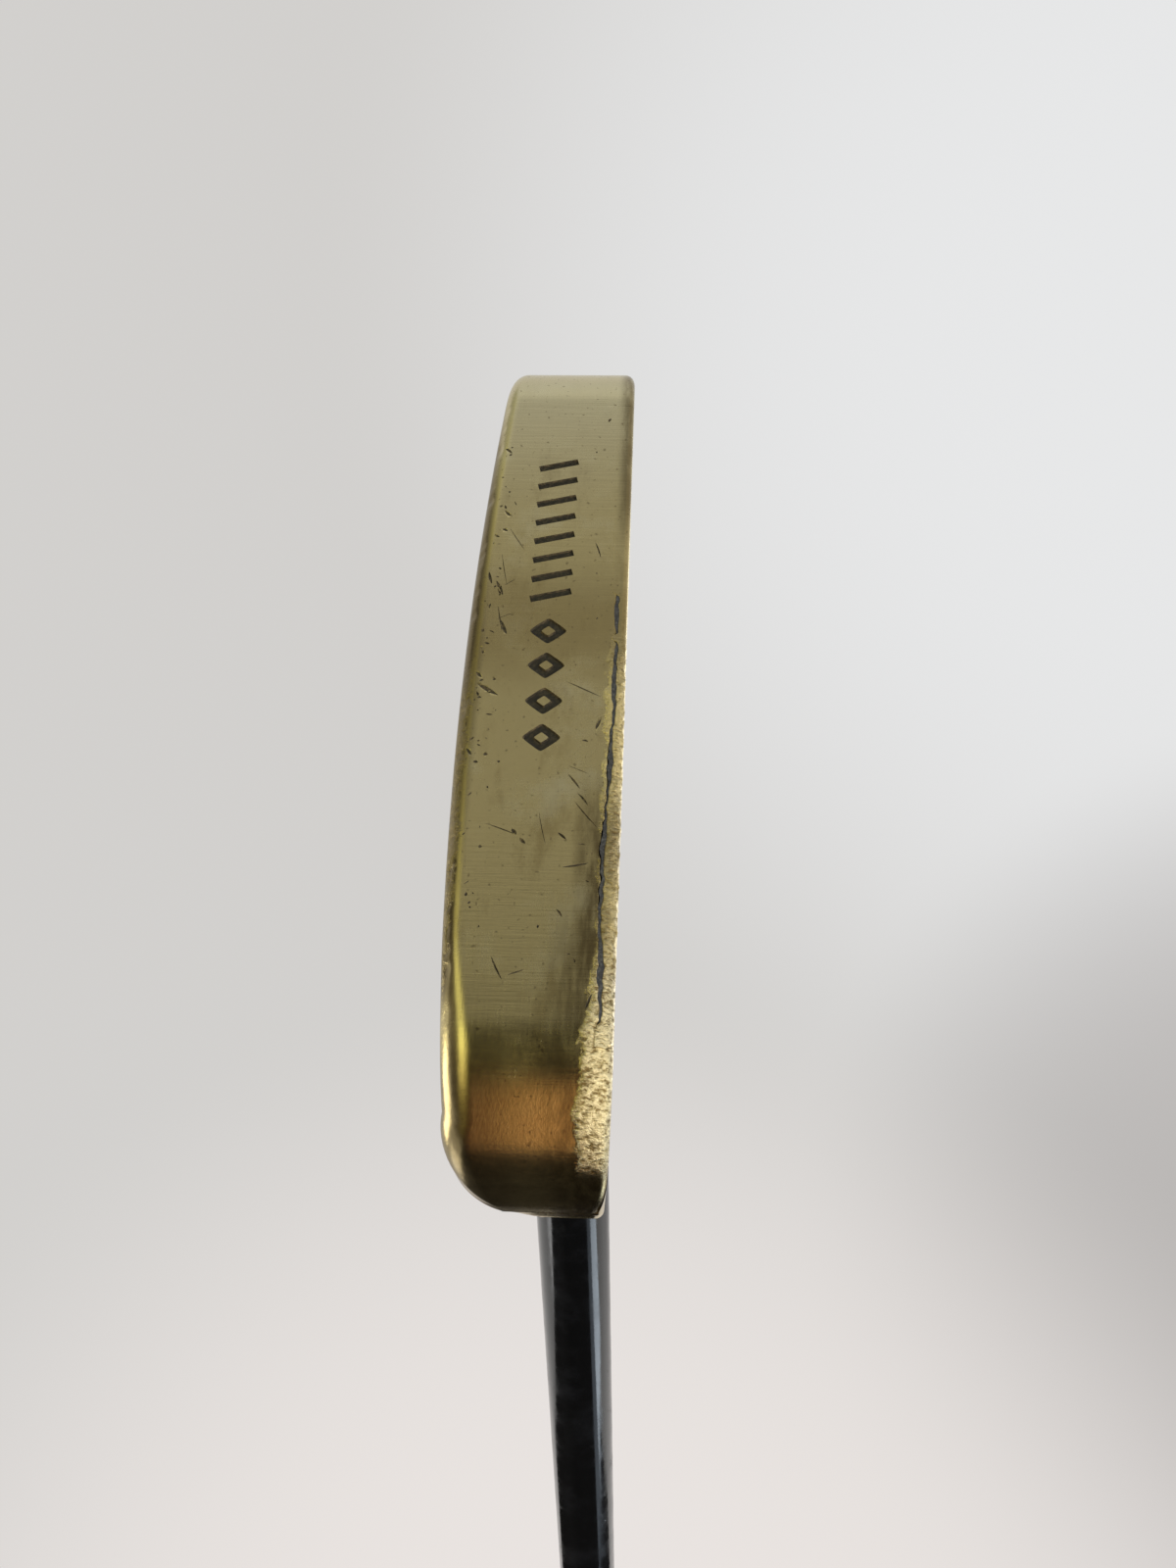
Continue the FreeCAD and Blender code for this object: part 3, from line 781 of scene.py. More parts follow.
    def weight(self, x: Array) -> Array:
        """0 over the hollow in the middle and 1 over the weights, with a steep rounded wall between."""
        toe = -self.half + self.toe_weight
        heel = self.half - self.heel_weight
        run = self.wall_run / 2
        return smooth(toe + run, toe - run, x) + smooth(heel - run, heel + run, x)

    def deck(self, x: Array, y: Array) -> Array:
        """Height of the surface behind the blade: level in the hollow, sloping down on the weights."""
        fall = (self.weight_front - self.weight_back) / (2 * self.deep - self.topline)
        slope = self.weight_front - fall * (y + self.deep - self.topline)
        return self.flange + self.weight(x) * (slope - self.flange)

    def insert_half(self) -> float:
        """Half of the face plate's length."""
        return self.half - self.insert_margin

    def insert_roof(self, x: Array) -> Array:
        """Height of the plate's top edge: level, with a round corner at each end."""
        past = self.passed(np.abs(x) + self.insert_margin, 1, self.insert_corner)
        return self.insert_top - self.insert_corner * drop(past)

    def open_joint(self, x: Array) -> Array:
        """1 where the joint shows in the sole, 0 at both ends and at one short closed place."""
        shown = smooth(self.joint_start - 0.6, self.joint_start + 0.8, x)
        shown = shown * smooth(self.joint_end + 0.3, self.joint_end - 2.0, x)
        return shown * (1 - 0.92 * bump(self.joint_shut_at, 0.9, x))

    def joint_line(self, x: Array) -> Array:
        """How far the joint lies behind the leading edge: it bows back towards the heel and wanders."""
        wander = ripple(x[..., None], 7.0, 11) * 0.05 + ripple(x[..., None], 1.6, 12) * 0.035
        return self.joint_behind + self.joint_bow * bump(27.0, 15.0, x) + wander

    def joint_width(self, x: Array) -> Array:
        """Width of the joint in the sole: wide and narrow by turns, closed where it doesn't show."""
        uneven = 0.10 * ripple(x[..., None], 9.0, 21) + 0.05 * ripple(x[..., None], 1.9, 22)
        return np.maximum(self.joint_wide + uneven, self.joint_least) * self.open_joint(x)

    def wave(self, points: Array) -> Array:
        """Slow waviness of the sole, in millimetres: a ripple that fades at the leading edge and upwards."""
        slow = ripple(points * np.array([0.5, 1.0, 1.0]), self.wave_long, 3) * self.wave_high
        inside = smooth(0.5, 3.0, np.abs(points[..., 1] + self.deep))
        return slow * inside * smooth(6.0, 1.0, points[..., 2])

    def front_turn(self, points: Array) -> Array:
        """How far the face falls back at its two ends: deep * (1 - sqrt(1 - t^2)), t over long millimetres.

        Args:
            points: places, (..., 3).

        Returns:
            The move backwards in millimetres, greatest on the face and 0 some way behind the middle.
        """
        share = np.clip((self.deep * 0.3 - points[..., 1]) / (self.deep * 1.3), 0.0, 1.0)
        x = points[..., 0]
        toe = self.toe_front_deep * drop(np.minimum(self.passed(x, -1, self.toe_front_long), 0.99))
        heel = self.heel_front_deep * drop(np.minimum(self.passed(x, 1, self.heel_front_long), 0.99))
        return (toe + heel) * share

    def worn_lift(self, points: Array) -> Array:
        """How far wear has lifted the sole's front edge, mostly towards the heel.

        Formula: lift * t^2, with t the share of the worn strip that lies in front of the point; the
        strip widens and the lift grows with x, and both fade with height.

        Args:
            points: places, (..., 3).

        Returns:
            The lift in millimetres.
        """
        x, y, z = points[..., 0], points[..., 1], points[..., 2]
        width = self.worn_wide + self.worn_wider * smooth(28.0, 47.0, x)
        width = width - self.worn_narrower * smooth(50.0, 58.0, x)
        lift = self.worn_low * smooth(-14.0, 5.0, x) + self.worn_high * smooth(26.0, 47.0, x)
        past = np.clip((-self.deep + width - y) / width, 0.0, 1.0)
        base, _ = self.bottom(np.clip(x, -self.half, self.half))
        return lift * past**2 * smooth(3.5, 0.0, z - base)


@dataclass
class BladeHead:
    """The brass head: blade, flange, weights, neck and post, its pocket, marks and groove."""

    form: BladeForm
    end_steps: int = 4
    dents: int = 70
    dents_placed: tuple = (25.3, 9.0, -38.0, 0.6, 33.0)
    dent_sizes: tuple = (0.25, 0.75)
    dent_depths: tuple = (0.06, 0.22)

    @classmethod
    def from_frame(cls) -> "BladeHead":
        """Read the blade's length and depth from the frame."""
        low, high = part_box("putter_head")
        plate_low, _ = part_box("face_insert")
        return cls(BladeForm(half=(high.x - low.x) / 2 / MM, deep=-plate_low.y / MM))

    def stations(self) -> tuple[Array, Array]:
        """Places along the blade: even in the middle, by equal angles in both end arcs, then two flat ends.

        Returns:
            X of each station, and how far each end station has closed, from 0 to almost 1.
        """
        form = self.form
        toe = -form.half + form.toe_round
        heel = form.half - form.heel_round
        turn = np.radians(np.linspace(0, 90, 34))
        toe_arc = toe - form.toe_round * np.sin(turn[::-1])
        heel_arc = heel + form.heel_round * np.sin(turn)
        middle = np.linspace(toe, heel, 216)[1:-1]
        walls = np.array([side * form.insert_half() + step for side in (-1, 1) for step in (-0.01, 0.01)])
        body = np.sort(np.concatenate([toe_arc, middle, heel_arc, walls]))
        closing = np.linspace(0.0, 0.96, self.end_steps + 1)[1:]
        flat_end = np.full(self.end_steps, form.half)
        x = np.concatenate([-flat_end, body, flat_end])
        return x, np.concatenate([closing[::-1], np.zeros(len(body)), closing])

    def loops(self) -> Array:
        """Sections of the blade across its length, each one a closed loop.

        From the leading edge a loop runs back over the sole, up the back edge, forward over the deck,
        up the blade's back, over the top line, down the face and round the plate's pocket.

        Returns:
            The loops, (stations, points, 3), in millimetres.
        """
        form = self.form
        x, shut = self.stations()
        low, down = form.bottom(x)
        high, up = form.top(x)
        middle = (low + high) / 2
        low = low + (middle - low) * shut
        high = high + (middle - high) * shut
        edge, rear = form.back(x)
        ahead, behind = form.ahead(x), xyz(0 * x, 1.0, 0.0)

        # the leading edge, the sole and the round below the back edge
        in_pocket = np.abs(x) < form.insert_half()
        shown = smooth(0.0, 0.5, form.open_joint(x))
        joint = form.joint_line(x) + form.joint_width(x) / 2
        depth = np.where(in_pocket, form.pocket_depth, 0.0)
        low_depth = depth + in_pocket * (joint - form.pocket_depth) * shown
        lead_round = np.where(in_pocket, 0.003 + 0.10 * shown, form.lead_round)
        lead = fillet(xyz(x, form.front(low) + low_depth, low), ahead, down, lead_round, 7)
        rear_round = form.rear_round + (form.rear_round_heel - form.rear_round) * smooth(32.0, 48.0, x)
        rear_round = np.minimum(rear_round, 0.3 * (edge - form.front(low)))
        back_low = fillet(xyz(x, edge, low), down, rear, rear_round, 11)

        # the back edge and the deck, as far as the blade's back
        deck_back = np.maximum(soft_min(form.deck(x, edge), high, form.deck_blend), low + 0.3 * (high - low))
        fall = (form.deck(x, edge) - form.deck(x, edge - 0.5)) / 0.5
        roof_normal = unit(xyz(0.0, -fall, 1.0))
        deck_round = np.minimum(form.deck_round, 0.25 * (deck_back - low))
        back_high = fillet(xyz(x, edge, deck_back), rear, roof_normal, deck_round, 7)
        blade_back = np.minimum(-form.deep + form.topline, edge - 0.45)
        deck_front = np.minimum(form.deck(x, blade_back), high - 0.10)
        rise = high - deck_front
        hollow_round = np.minimum(form.hollow_round, 0.42 * np.minimum(rise, edge - blade_back))
        valley = fillet(xyz(x, blade_back, deck_front), roof_normal, behind, hollow_round, 8, hollow=True)
        deck = self.deck_lines(x, high, back_high[:, -1], valley[:, 0])

        # the top line
        rim = fillet(xyz(x, blade_back, high), behind, up, np.minimum(form.rim_round, 0.4 * rise), 5)
        crown_round = np.minimum(form.crown_round, 0.2 * (high - low) + 0.02)
        crown = fillet(xyz(x, form.front(high), high), up, ahead, crown_round, 6)

        # the face and the plate's pocket
        roof = np.where(in_pocket, form.insert_roof(x), np.minimum(form.insert_top, middle))
        step_up = (roof - low) * np.where(in_pocket, 1.0, 0.9)
        lip = xyz(x, form.front(roof + form.insert_gap), roof + form.insert_gap)
        ceiling = xyz(x, form.front(roof) + depth, roof)
        foot_height = low + np.minimum(form.insert_foot, 0.4 * step_up)
        foot = xyz(x, form.front(foot_height) + depth, foot_height)
        return np.concatenate([
            lead, straight(lead[:, -1], back_low[:, 0], 58), back_low,
            straight(back_low[:, -1], back_high[:, 0], 9), back_high, deck, valley,
            straight(valley[:, -1], rim[:, 0], 13), rim,
            straight(rim[:, -1], crown[:, 0], 11), crown,
            straight(crown[:, -1], lip, 9), lip[:, None],
            straight(lip, ceiling, 5), ceiling[:, None],
            straight(ceiling, foot, 18), foot[:, None], straight(foot, lead[:, 0], 5),
        ], axis=1)

    def deck_lines(self, x: Array, high: Array, start: Array, end: Array) -> Array:
        """The deck from the back edge to the valley: lines that follow its height away from their ends.

        Args:
            x: stations along the blade.
            high: height of the top line at each station.
            start: where each line leaves the back edge, (stations, 3).
            end: where it meets the valley's rounding, (stations, 3).

        Returns:
            The points, (stations, 20, 3).
        """
        line = straight(start, end, 20)
        steps = np.linspace(0, 1, 22)[None, 1:-1]
        on_deck = soft_min(self.form.deck(x[:, None], line[..., 1]), high[:, None], self.form.deck_blend)
        even = smooth(0.0, 0.12, steps) * smooth(1.0, 0.88, steps)
        line[..., 2] += even * (on_deck - line[..., 2])
        return line

    def weather(self, points: Array) -> Array:
        """Hand-worked unevenness: a slow waviness, and dents pressed into the back edge.

        Each dent moves points towards the blade's middle by depth * exp(-(distance / size)^2).

        Args:
            points: the loops, (stations, points, 3).

        Returns:
            The moved loops.
        """
        form = self.form
        moved = points.copy()
        moved[..., 1] += form.front_turn(points)
        moved[..., 2] += form.wave(points) + form.worn_lift(points)
        draw = np.random.default_rng(41)
        x = draw.uniform(-form.half + 3, form.half - 9, self.dents)
        x[:len(self.dents_placed)] = self.dents_placed
        size = draw.uniform(*self.dent_sizes, self.dents)
        deep = draw.uniform(*self.dent_depths, self.dents)
        edge, _ = form.back(x)
        for place, width, push in zip(xyz(x, edge - 0.25, 0.35), size, deep):
            near = np.exp(-((points - place) ** 2).sum(-1) / width**2)
            moved[..., 1] -= push * near
            moved[..., 2] += push * near * 0.8
        return moved

    def neck(self, axis: "ShaftAxis") -> Solid:
        """The neck and the post above it, round the shaft's axis, with a root that flares at the rear.

        Formula: radius(height) + flare(height) * smooth(-0.4, 0.5, sin(turn)), turn 90 degrees at the rear.

        Args:
            axis: the shaft's axis and the heights along it.

        Returns:
            A closed surface that overlaps the blade.
        """
        radius = axis.tip_radius + axis.shoulder
        post = axis.tip_radius - axis.wall - 0.16
        root = self.form.neck_root
        join = self.form.heel_height / math.sin(axis.lie())
        run = np.linspace(root, axis.neck_top - axis.shoulder, 40)
        side = np.stack([0 * run + radius, run], -1)
        over = np.array([
            [radius - 0.08, axis.neck_top - 0.08],
            [axis.tip_radius, axis.neck_top],
            [post, axis.neck_top],
            [post, axis.post_top - 0.8],
            [post - 0.8, axis.post_top],
        ])
        profile = np.concatenate([side, over])
        height = profile[:, 1:]
        spread = (height - root) / (join - root + 1.2)
        flare = self.form.neck_flare * np.exp(-(spread**6)) * (height < join + 3.0)
        turn = np.linspace(0, 2 * math.pi, 96, endpoint=False)
        size = profile[:, :1] + flare * smooth(-0.4, 0.5, np.sin(turn))
        return build_piece("neck", axis.place(size * np.cos(turn), size * np.sin(turn), height))

    def build(self, axis: "ShaftAxis") -> Solid:
        """Make the head, cut its marks and groove, and hand it over dressed.

        Args:
            axis: the shaft's axis.

        Returns:
            The finished head.
        """
        brass = BrassFinish("brass_satin").make()
        # the cut walls take a dark finish: dirt and painted shade in the recesses
        cut_dirt_and_shade_material = CUT_DIRT_AND_SHADE.make()
        head = build_piece("head", self.weather(self.loops()))
        neck = self.neck(axis)
        groove = SightLine(self.form).cutter()
        cuts = join_pieces("cuts", SoleMarks().cutters() + Scratches().cutters())
        for body, material in ((head, brass), (neck, brass), (groove, brass), (cuts, cut_dirt_and_shade_material)):
            body.data.materials.append(material)
        carve(head, neck, Cut.ADD)
        carve(head, groove, Cut.TAKE_AWAY)
        carve(head, cuts, Cut.TAKE_AWAY)
        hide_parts("putter_head")
        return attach(head, ROOT)


@dataclass
class FacePlate:
    """The thin brass plate in the face, with the joint behind it open along part of the sole."""

    form: BladeForm
    thickness: float = 1.35
    edge_round: float = 0.09
    clearance: float = 0.02
    lead_round: float = 0.80
    lead_worn: float = 0.35
    crumbled_back: float = 0.035
    crumbled_up: float = 0.030

    def stations(self) -> Array:
        """Places along the plate, closer together in its corners and at its ends."""
        reach = self.form.insert_half() - self.clearance
        corner = self.form.insert_corner
        turn = np.sin(np.radians(np.linspace(0, 90, 16)))
        ends = reach - corner + (corner - 0.001) * turn
        middle = np.linspace(-(reach - corner), reach - corner, 250)[1:-1]
        return np.concatenate([-ends[::-1], middle, ends])

    def loops(self) -> Array:
        """Sections across the plate: round the sole, up its back, over its top edge, down its face.

        Returns:
            The loops, (stations, points, 3), in millimetres.
        """
        form = self.form
        x = self.stations()
        ahead = form.ahead(x)
        up = xyz(0 * x, 0.0, 1.0)
        uneven = 0.10 * ripple(x[:, None], 5.0, 31) * smooth(-14, 0, x)
        lead = self.lead_round + self.lead_worn * smooth(26.0, 42.0, x) + uneven
        shown = smooth(0.0, 0.5, form.open_joint(x))
        joint = form.joint_line(x) - form.joint_width(x) / 2
        low_depth = form.pocket_depth + (joint - form.pocket_depth) * shown
        top = form.insert_roof(x) - self.clearance
        foot = xyz(x, form.front(form.insert_foot) + self.thickness, form.insert_foot)
        nose = fillet(xyz(x, form.front(0), 0), ahead, -up, lead, 9)
        heel_round = self.edge_round * shown + 0.004
        heel = fillet(xyz(x, form.front(0) + low_depth, 0), -up, -ahead, heel_round, 4)
        crest_back = fillet(xyz(x, form.front(top) + self.thickness, top), -ahead, up, self.edge_round, 4)
        crest_front = fillet(xyz(x, form.front(top), top), up, ahead, self.edge_round, 4)
        return np.concatenate([
            nose, straight(nose[:, -1], heel[:, 0], 5), heel, straight(heel[:, -1], foot, 3),
            foot[:, None], straight(foot, crest_back[:, 0], 10), crest_back,
            straight(crest_back[:, -1], crest_front[:, 0], 2), crest_front,
            straight(crest_front[:, -1], nose[:, 0], 26),
        ], axis=1)

    def weather(self, points: Array) -> Array:
        """Wear along the leading edge: a crumbled relief that fades upwards, backwards and toewards."""
        low = smooth(1.6, 0.3, points[..., 2]) * smooth(-12.0, 2.0, points[..., 0])
        front = smooth(1.4, 0.6, points[..., 1] + self.form.deep)
        rough = ripple(points, 0.9, 51) + ripple(points, 0.45, 52)
        moved = points.copy()
        moved[..., 1] += self.crumbled_back * low * front * (rough + 0.6)
        moved[..., 2] += self.crumbled_up * low * front * (rough + 0.8)
        moved[..., 2] += self.form.worn_lift(points) + self.form.wave(points)
        return moved

    def build(self) -> Solid:
        """Make the plate and hand it over dressed."""
        plate = build_piece("face_plate", self.weather(self.loops()))
        dress(plate, BrassFinish("brass_plate_satin"))
        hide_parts("face_insert")
        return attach(plate, ROOT)


@dataclass
class BondStrip:
    """The bond between plate and pocket: a dark line in the sole, shrunk back and cracked on one side."""

    form: BladeForm
    plate: FacePlate
    recess: float = 0.07
    crack: float = 0.10
    fit: float = 0.01
    foot: float = 1.35

    def place(self, x: Array, behind: Array, height: Array) -> Array:
        """Points that far behind the face, at these heights."""
        return xyz(x, self.form.front(height) + behind, height)

    def loops(self) -> Array:
        """Sections across the bond: its edge in the sole, then up between plate and pocket.

        Returns:
            The loops, (stations, points, 3), in millimetres.
        """
        form = self.form
        x = np.linspace(form.joint_start - 0.4, form.joint_end - 0.4, 240)
        line, width = form.joint_line(x), form.joint_width(x)
        cracked = smooth(5.5, 8.5, x) * smooth(31.0, 27.5, x)
        gap = self.crack * cracked * np.clip(1 + 0.4 * ripple(x[:, None], 2.2, 61), 0.2, 2.0)
        sunk = np.clip(self.recess * (1 + 0.5 * ripple(x[:, None], 1.3, 62)), 0.02, 0.2)
        back = line + width / 2 + self.fit - np.minimum(gap, width * 0.45)
        plate_back = self.plate.thickness + self.fit
        pocket_back = form.pocket_depth - self.fit
        top = form.insert_roof(x) - 0.1
        low_front = self.place(x, line - width / 2 - self.fit, sunk)
        low_back = self.place(x, back, sunk * 1.1)
        foot_front = self.place(x, plate_back, self.foot)
        foot_back = self.place(x, pocket_back, self.foot)
        points = np.concatenate([
            low_front[:, None], straight(low_front, low_back, 4), low_back[:, None],
            straight(low_back, foot_back, 3), foot_back[:, None],
            self.place(x, pocket_back, top)[:, None], self.place(x, plate_back, top)[:, None],
            foot_front[:, None], straight(foot_front, low_front, 3),
        ], axis=1)
        points[..., 2] += form.worn_lift(points) + form.wave(points)
        return points

    def build(self) -> Solid:
        """Make the bond and hand it over dressed."""
        bond = build_piece("bond_line", self.loops())
        dress(bond, BOND)
        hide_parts("insert_bond")
        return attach(bond, ROOT)


# ---------------------------------------------------------------- marks, groove and scratches

def stroke_body(name: str, path: Array, side: Array, rows: Rows, closed: bool) -> Solid:
    """A stroke of flat metalwork: a path in the plane, with half widths that change with height.

    Formula: each section holds the points path + side * half, then path - side * half in reverse.

    Args:
        name: the object's name.
        path: (points, 2) in millimetres, in order.
        side: where the width is laid off at each point of the path, (points, 2).
        rows: (half width, height) up the stroke's section.
        closed: True where the path is a ring.

    Returns:
        The closed surface.
    """
    half, height = np.array(rows + [(-half, height) for half, height in rows[::-1]]).T
    flat = path[:, None] + side[:, None] * half[:, None]
    return build_piece(name, xyz(flat[..., 0], flat[..., 1], height), closed=closed)


def line_sides(path: Array) -> Array:
    """The unit normal in the plane at each point of an open path, (points, 2)."""
    ahead = unit(np.gradient(path, axis=0))
    return np.stack([-ahead[:, 1], ahead[:, 0]], -1)


@dataclass
class SoleMarks:
    """Eight slanted bars and four open lozenges, struck into the sole and filled dark."""

    depth: float = 0.45
    floor: float = 0.27
    half_stroke: float = 0.46
    bars: int = 8
    bar_first: float = -35.825
    bar_pitch: float = 3.1
    bar_height: float = 6.0
    bar_slant: float = 1.5
    bar_drawn_in: float = 0.06
    lozenges: int = 4
    lozenge_first: float = -7.8
    lozenge_pitch: float = 5.2
    lozenge_wide: float = 4.0
    lozenge_tall: float = 4.9
    lozenge_rounding: float = 0.10
    row: float = -0.3
    reach: float = 4.2

    def bar_path(self, number: int) -> Array:
        """The middle line of a slanted bar, half a stroke short of the bar's two ends."""
        t = np.linspace(0.0, 1.0, 15)
        height = self.bar_height - 2 * self.half_stroke
        across = self.bar_slant * (self.bar_drawn_in + (1 - 2 * self.bar_drawn_in) * t)
        x = self.bar_first + number * self.bar_pitch + across
        return np.stack([x, self.row - height / 2 + height * t], -1)

    def lozenge_path(self, number: int) -> tuple[Array, Array]:
        """A ring of four straight sides with rounded corners.

        Formula: at angle a its radius is 1 / (C / wide + S / tall), where C and S are |cos a| and |sin a|
        with their zero rounded off, sqrt(cos^2 + e^2); the width is laid off along the ray, in
        proportion to the radius, so that a stroke keeps its width along the straight sides.

        Args:
            number: which lozenge, from the toe.

        Returns:
            The path, and where the width is laid off, both (points, 2).
        """
        turn = np.linspace(0, 2 * math.pi, 96, endpoint=False)
        level = np.hypot(np.cos(turn), self.lozenge_rounding)
        upright = np.hypot(np.sin(turn), self.lozenge_rounding)
        wide, tall = self.lozenge_wide / 2, self.lozenge_tall / 2
        apothem = wide * tall / math.hypot(wide, tall)
        outline = 1.0 / (level / wide + upright / tall)
        ray = np.stack([outline * np.cos(turn), outline * np.sin(turn)], -1)
        middle = np.array([self.lozenge_first + number * self.lozenge_pitch, self.row])
        return middle + (1.0 - self.half_stroke / apothem) * ray, ray / apothem

    def strokes(self, name: str, section: Rows) -> list[Solid]:
        """All the strokes with one section.

        Args:
            name: what to call them.
            section: (share of the half stroke, height) up the section.

        Returns:
            One closed surface for each stroke.
        """
        rows = [(share * self.half_stroke, height) for share, height in section]
        bars = [self.bar_path(k) for k in range(self.bars)]
        made = [stroke_body(name, path, line_sides(path), rows, False) for path in bars]
        return made + [stroke_body(name, *self.lozenge_path(k), rows, True) for k in range(self.lozenges)]

    def cutters(self) -> list[Solid]:
        """Strokes that narrow upwards, from below the sole to the marks' depth."""
        return self.strokes("stroke", [(1.35, -0.30), (1.08, 0.02), (0.86, 0.25), (0.70, self.depth)])

    def build(self) -> Solid:
        """The dark fill in the marks, dressed."""
        top = self.depth + 0.02
        section = [(0.72, self.floor + 0.02), (0.92, self.floor - 0.03), (0.92, top - 0.10), (0.75, top)]
        fill = join_pieces("sole_mark_dark", self.strokes("fill", section))
        dress(fill, MARK_DARK)
        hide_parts("sole_mark_fill")
        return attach(fill, ROOT)


@dataclass
class SightLine:
    """The white alignment groove across the flange."""

    form: BladeForm
    half_width: float = 0.6
    depth: float = 0.5
    front: float = 1.4
    back: float = 7.1
    fit: float = 0.01
    sunk: float = 0.2
    dished: float = 0.06
    lumps: float = 0.012

    def cutter(self) -> Solid:
        """The groove's cutter, down into the flange."""
        top = self.form.flange
        rows = [(self.half_width * 0.8, top - self.depth), (self.half_width, top - self.depth * 0.6),
                (self.half_width * 1.1, top + 0.4)]
        y = np.linspace(self.front, self.back, 24)
        path = np.stack([0 * y, y], -1)
        return stroke_body("sight_tool", path, line_sides(path), rows, False)

    def build(self) -> Solid:
        """The paint in the groove, dished along its middle, dressed."""
        top = self.form.flange
        y = np.linspace(self.front + self.fit, self.back - self.fit, 60)[:, None]
        across = np.linspace(-1, 1, 13)
        x = across * self.half_width * 0.99
        upper = xyz(x, y, top - self.sunk - self.dished * (1 - across**2))
        upper[..., 2] += self.lumps * ripple(upper[..., :2], 0.8, 71)
        lower = xyz(x[::-1], y, top - self.depth - self.fit)
        line = build_piece("sight_line_paint", np.concatenate([upper, lower], axis=1))
        dress(line, SIGHT_WHITE)
        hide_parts("sight_line_fill")
        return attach(line, ROOT)


@dataclass
class Scratches:
    """Cuts and scratches in the sole, each a shallow groove that tapers at both ends.

    The named cuts are listed one by one, each as (one end, other end, half width) in the sole's plane.
    """

    marks: SoleMarks = field(default_factory=SoleMarks)
    deep: float = 0.13
    bend: float = 0.08
    hairlines: int = 22
    hairline_reach: tuple = (0.8, 3.2)
    hairline_half: tuple = (0.04, 0.09)
    nicks: int = 96
    nick_reach: tuple = (0.10, 0.42)
    nick_half: tuple = (0.05, 0.19)
    named: list = field(default_factory=lambda: [
        ((0.2, 7.9), (1.9, 5.2), 0.30),
        ((-38.7, 7.6), (-37.2, 6.1), 0.24),
        ((12.8, -3.7), (14.8, -5.2), 0.13),
        ((15.4, -5.0), (17.0, -6.2), 0.13),
        ((25.0, -3.6), (24.4, -6.6), 0.12),
        ((21.5, -3.9), (20.6, -2.9), 0.16),
        ((20.2, 2.4), (20.9, 1.8), 0.22),
        ((21.4, 1.4), (22.1, 0.7), 0.20),
        ((-14.6, 6.4), (-13.4, 6.1), 0.16),
        ((31.2, -3.9), (30.2, -3.2), 0.12),
        ((36.0, 3.6), (38.8, 2.2), 0.11),
        ((-22.0, -5.6), (-19.4, -6.4), 0.10),
        ((-15.6, 6.7), (-13.2, 5.7), 0.26),
        ((-9.4, 5.7), (-7.2, 4.8), 0.24),
        ((-17.0, 7.7), (-15.0, 7.2), 0.20),
        ((-27.2, 6.4), (-26.2, 5.5), 0.20),
        ((-1.6, 8.2), (-0.7, 7.4), 0.24),
        ((5.1, -7.3), (6.6, -6.7), 0.20),
        ((9.2, 8.7), (10.4, 7.8), 0.22),
        ((24.6, 9.2), (26.0, 8.4), 0.20),
        ((42.0, -6.9), (40.2, -7.5), 0.16),
    ])

    def cutter(self, start: Array, end: Array, half: float, seed: int) -> Solid:
        """One spindle: a diamond section whose size follows sin(pi t) along a slightly bent line.

        Args:
            start: one end, in the sole's plane.
            end: the other end.
            half: half of its greatest width.
            seed: the draw of its bend.

        Returns:
            The closed surface.
        """
        t = np.linspace(0.01, 0.99, 14)
        a, b = np.array(start), np.array(end)
        way = unit(b - a)
        side = np.array([-way[1], way[0]])
        bend = np.random.default_rng(seed).uniform(-self.bend, self.bend) * np.sin(math.pi * t)
        path = a + t[:, None] * (b - a) + bend[:, None] * side
        size = np.sin(math.pi * t)[:, None] ** 0.7
        deep = min(self.deep, half * 0.8)

        def rail(across: float, height: float) -> Array:
            """One edge of the spindle, laid off sideways and upwards by a share of its size."""
            flat = path + across * half * size * side
            return np.concatenate([flat, height * deep * size], -1)

        ring = [rail(1, 0.0), rail(0, 1.0), rail(-1, 0.0), rail(0, -1.6)]
        return build_piece("scratch", np.stack(ring, axis=1))

    def clear(self, middle: Array, past_marks: float) -> bool:
        """True where a cut at this place misses the row of marks, which ends before past_marks."""
        return abs(middle[1] - self.marks.row) > self.marks.reach or middle[0] > past_marks

    def cutters(self) -> list[Solid]:
        """The named cuts, then hairlines drawn at random over the sole, then nicks."""
        made = [self.cutter(a, b, half, k) for k, (a, b, half) in enumerate(self.named)]
        draw = np.random.default_rng(97)
        for k in range(self.hairlines):
            middle = np.array([draw.uniform(-46, 40), draw.uniform(-6.5, 7.0)])
            turn = draw.normal(0, 0.5) + (math.pi / 2 if draw.uniform() < 0.3 else 0.0)
            reach = draw.uniform(*self.hairline_reach) * np.array([math.cos(turn), math.sin(turn)])
            if self.clear(middle, 12.0):
                half = draw.uniform(*self.hairline_half)
                made.append(self.cutter(middle - reach, middle + reach, half, 200 + k))
        return made + self.nick_cutters()

    def nick_cutters(self) -> list[Solid]:
        """Short blunt nicks, two thirds of them near the back edge, clear of the marks."""
        draw = np.random.default_rng(59)
        made = []
        for k in range(self.nicks):
            span = (6.0, 8.6) if k % 3 > 0 else (-6.8, 6.0)
            middle = np.array([draw.uniform(-44, 41), draw.uniform(*span)])
            turn = draw.uniform(0, math.pi)
            reach = draw.uniform(*self.nick_reach) * np.array([math.cos(turn), math.sin(turn)])
            half = draw.uniform(*self.nick_half)
            if self.clear(middle, 14.0):
                made.append(self.cutter(middle - reach, middle + reach, half, 400 + k))
        return made


# ---------------------------------------------------------------- shaft, grip and cap

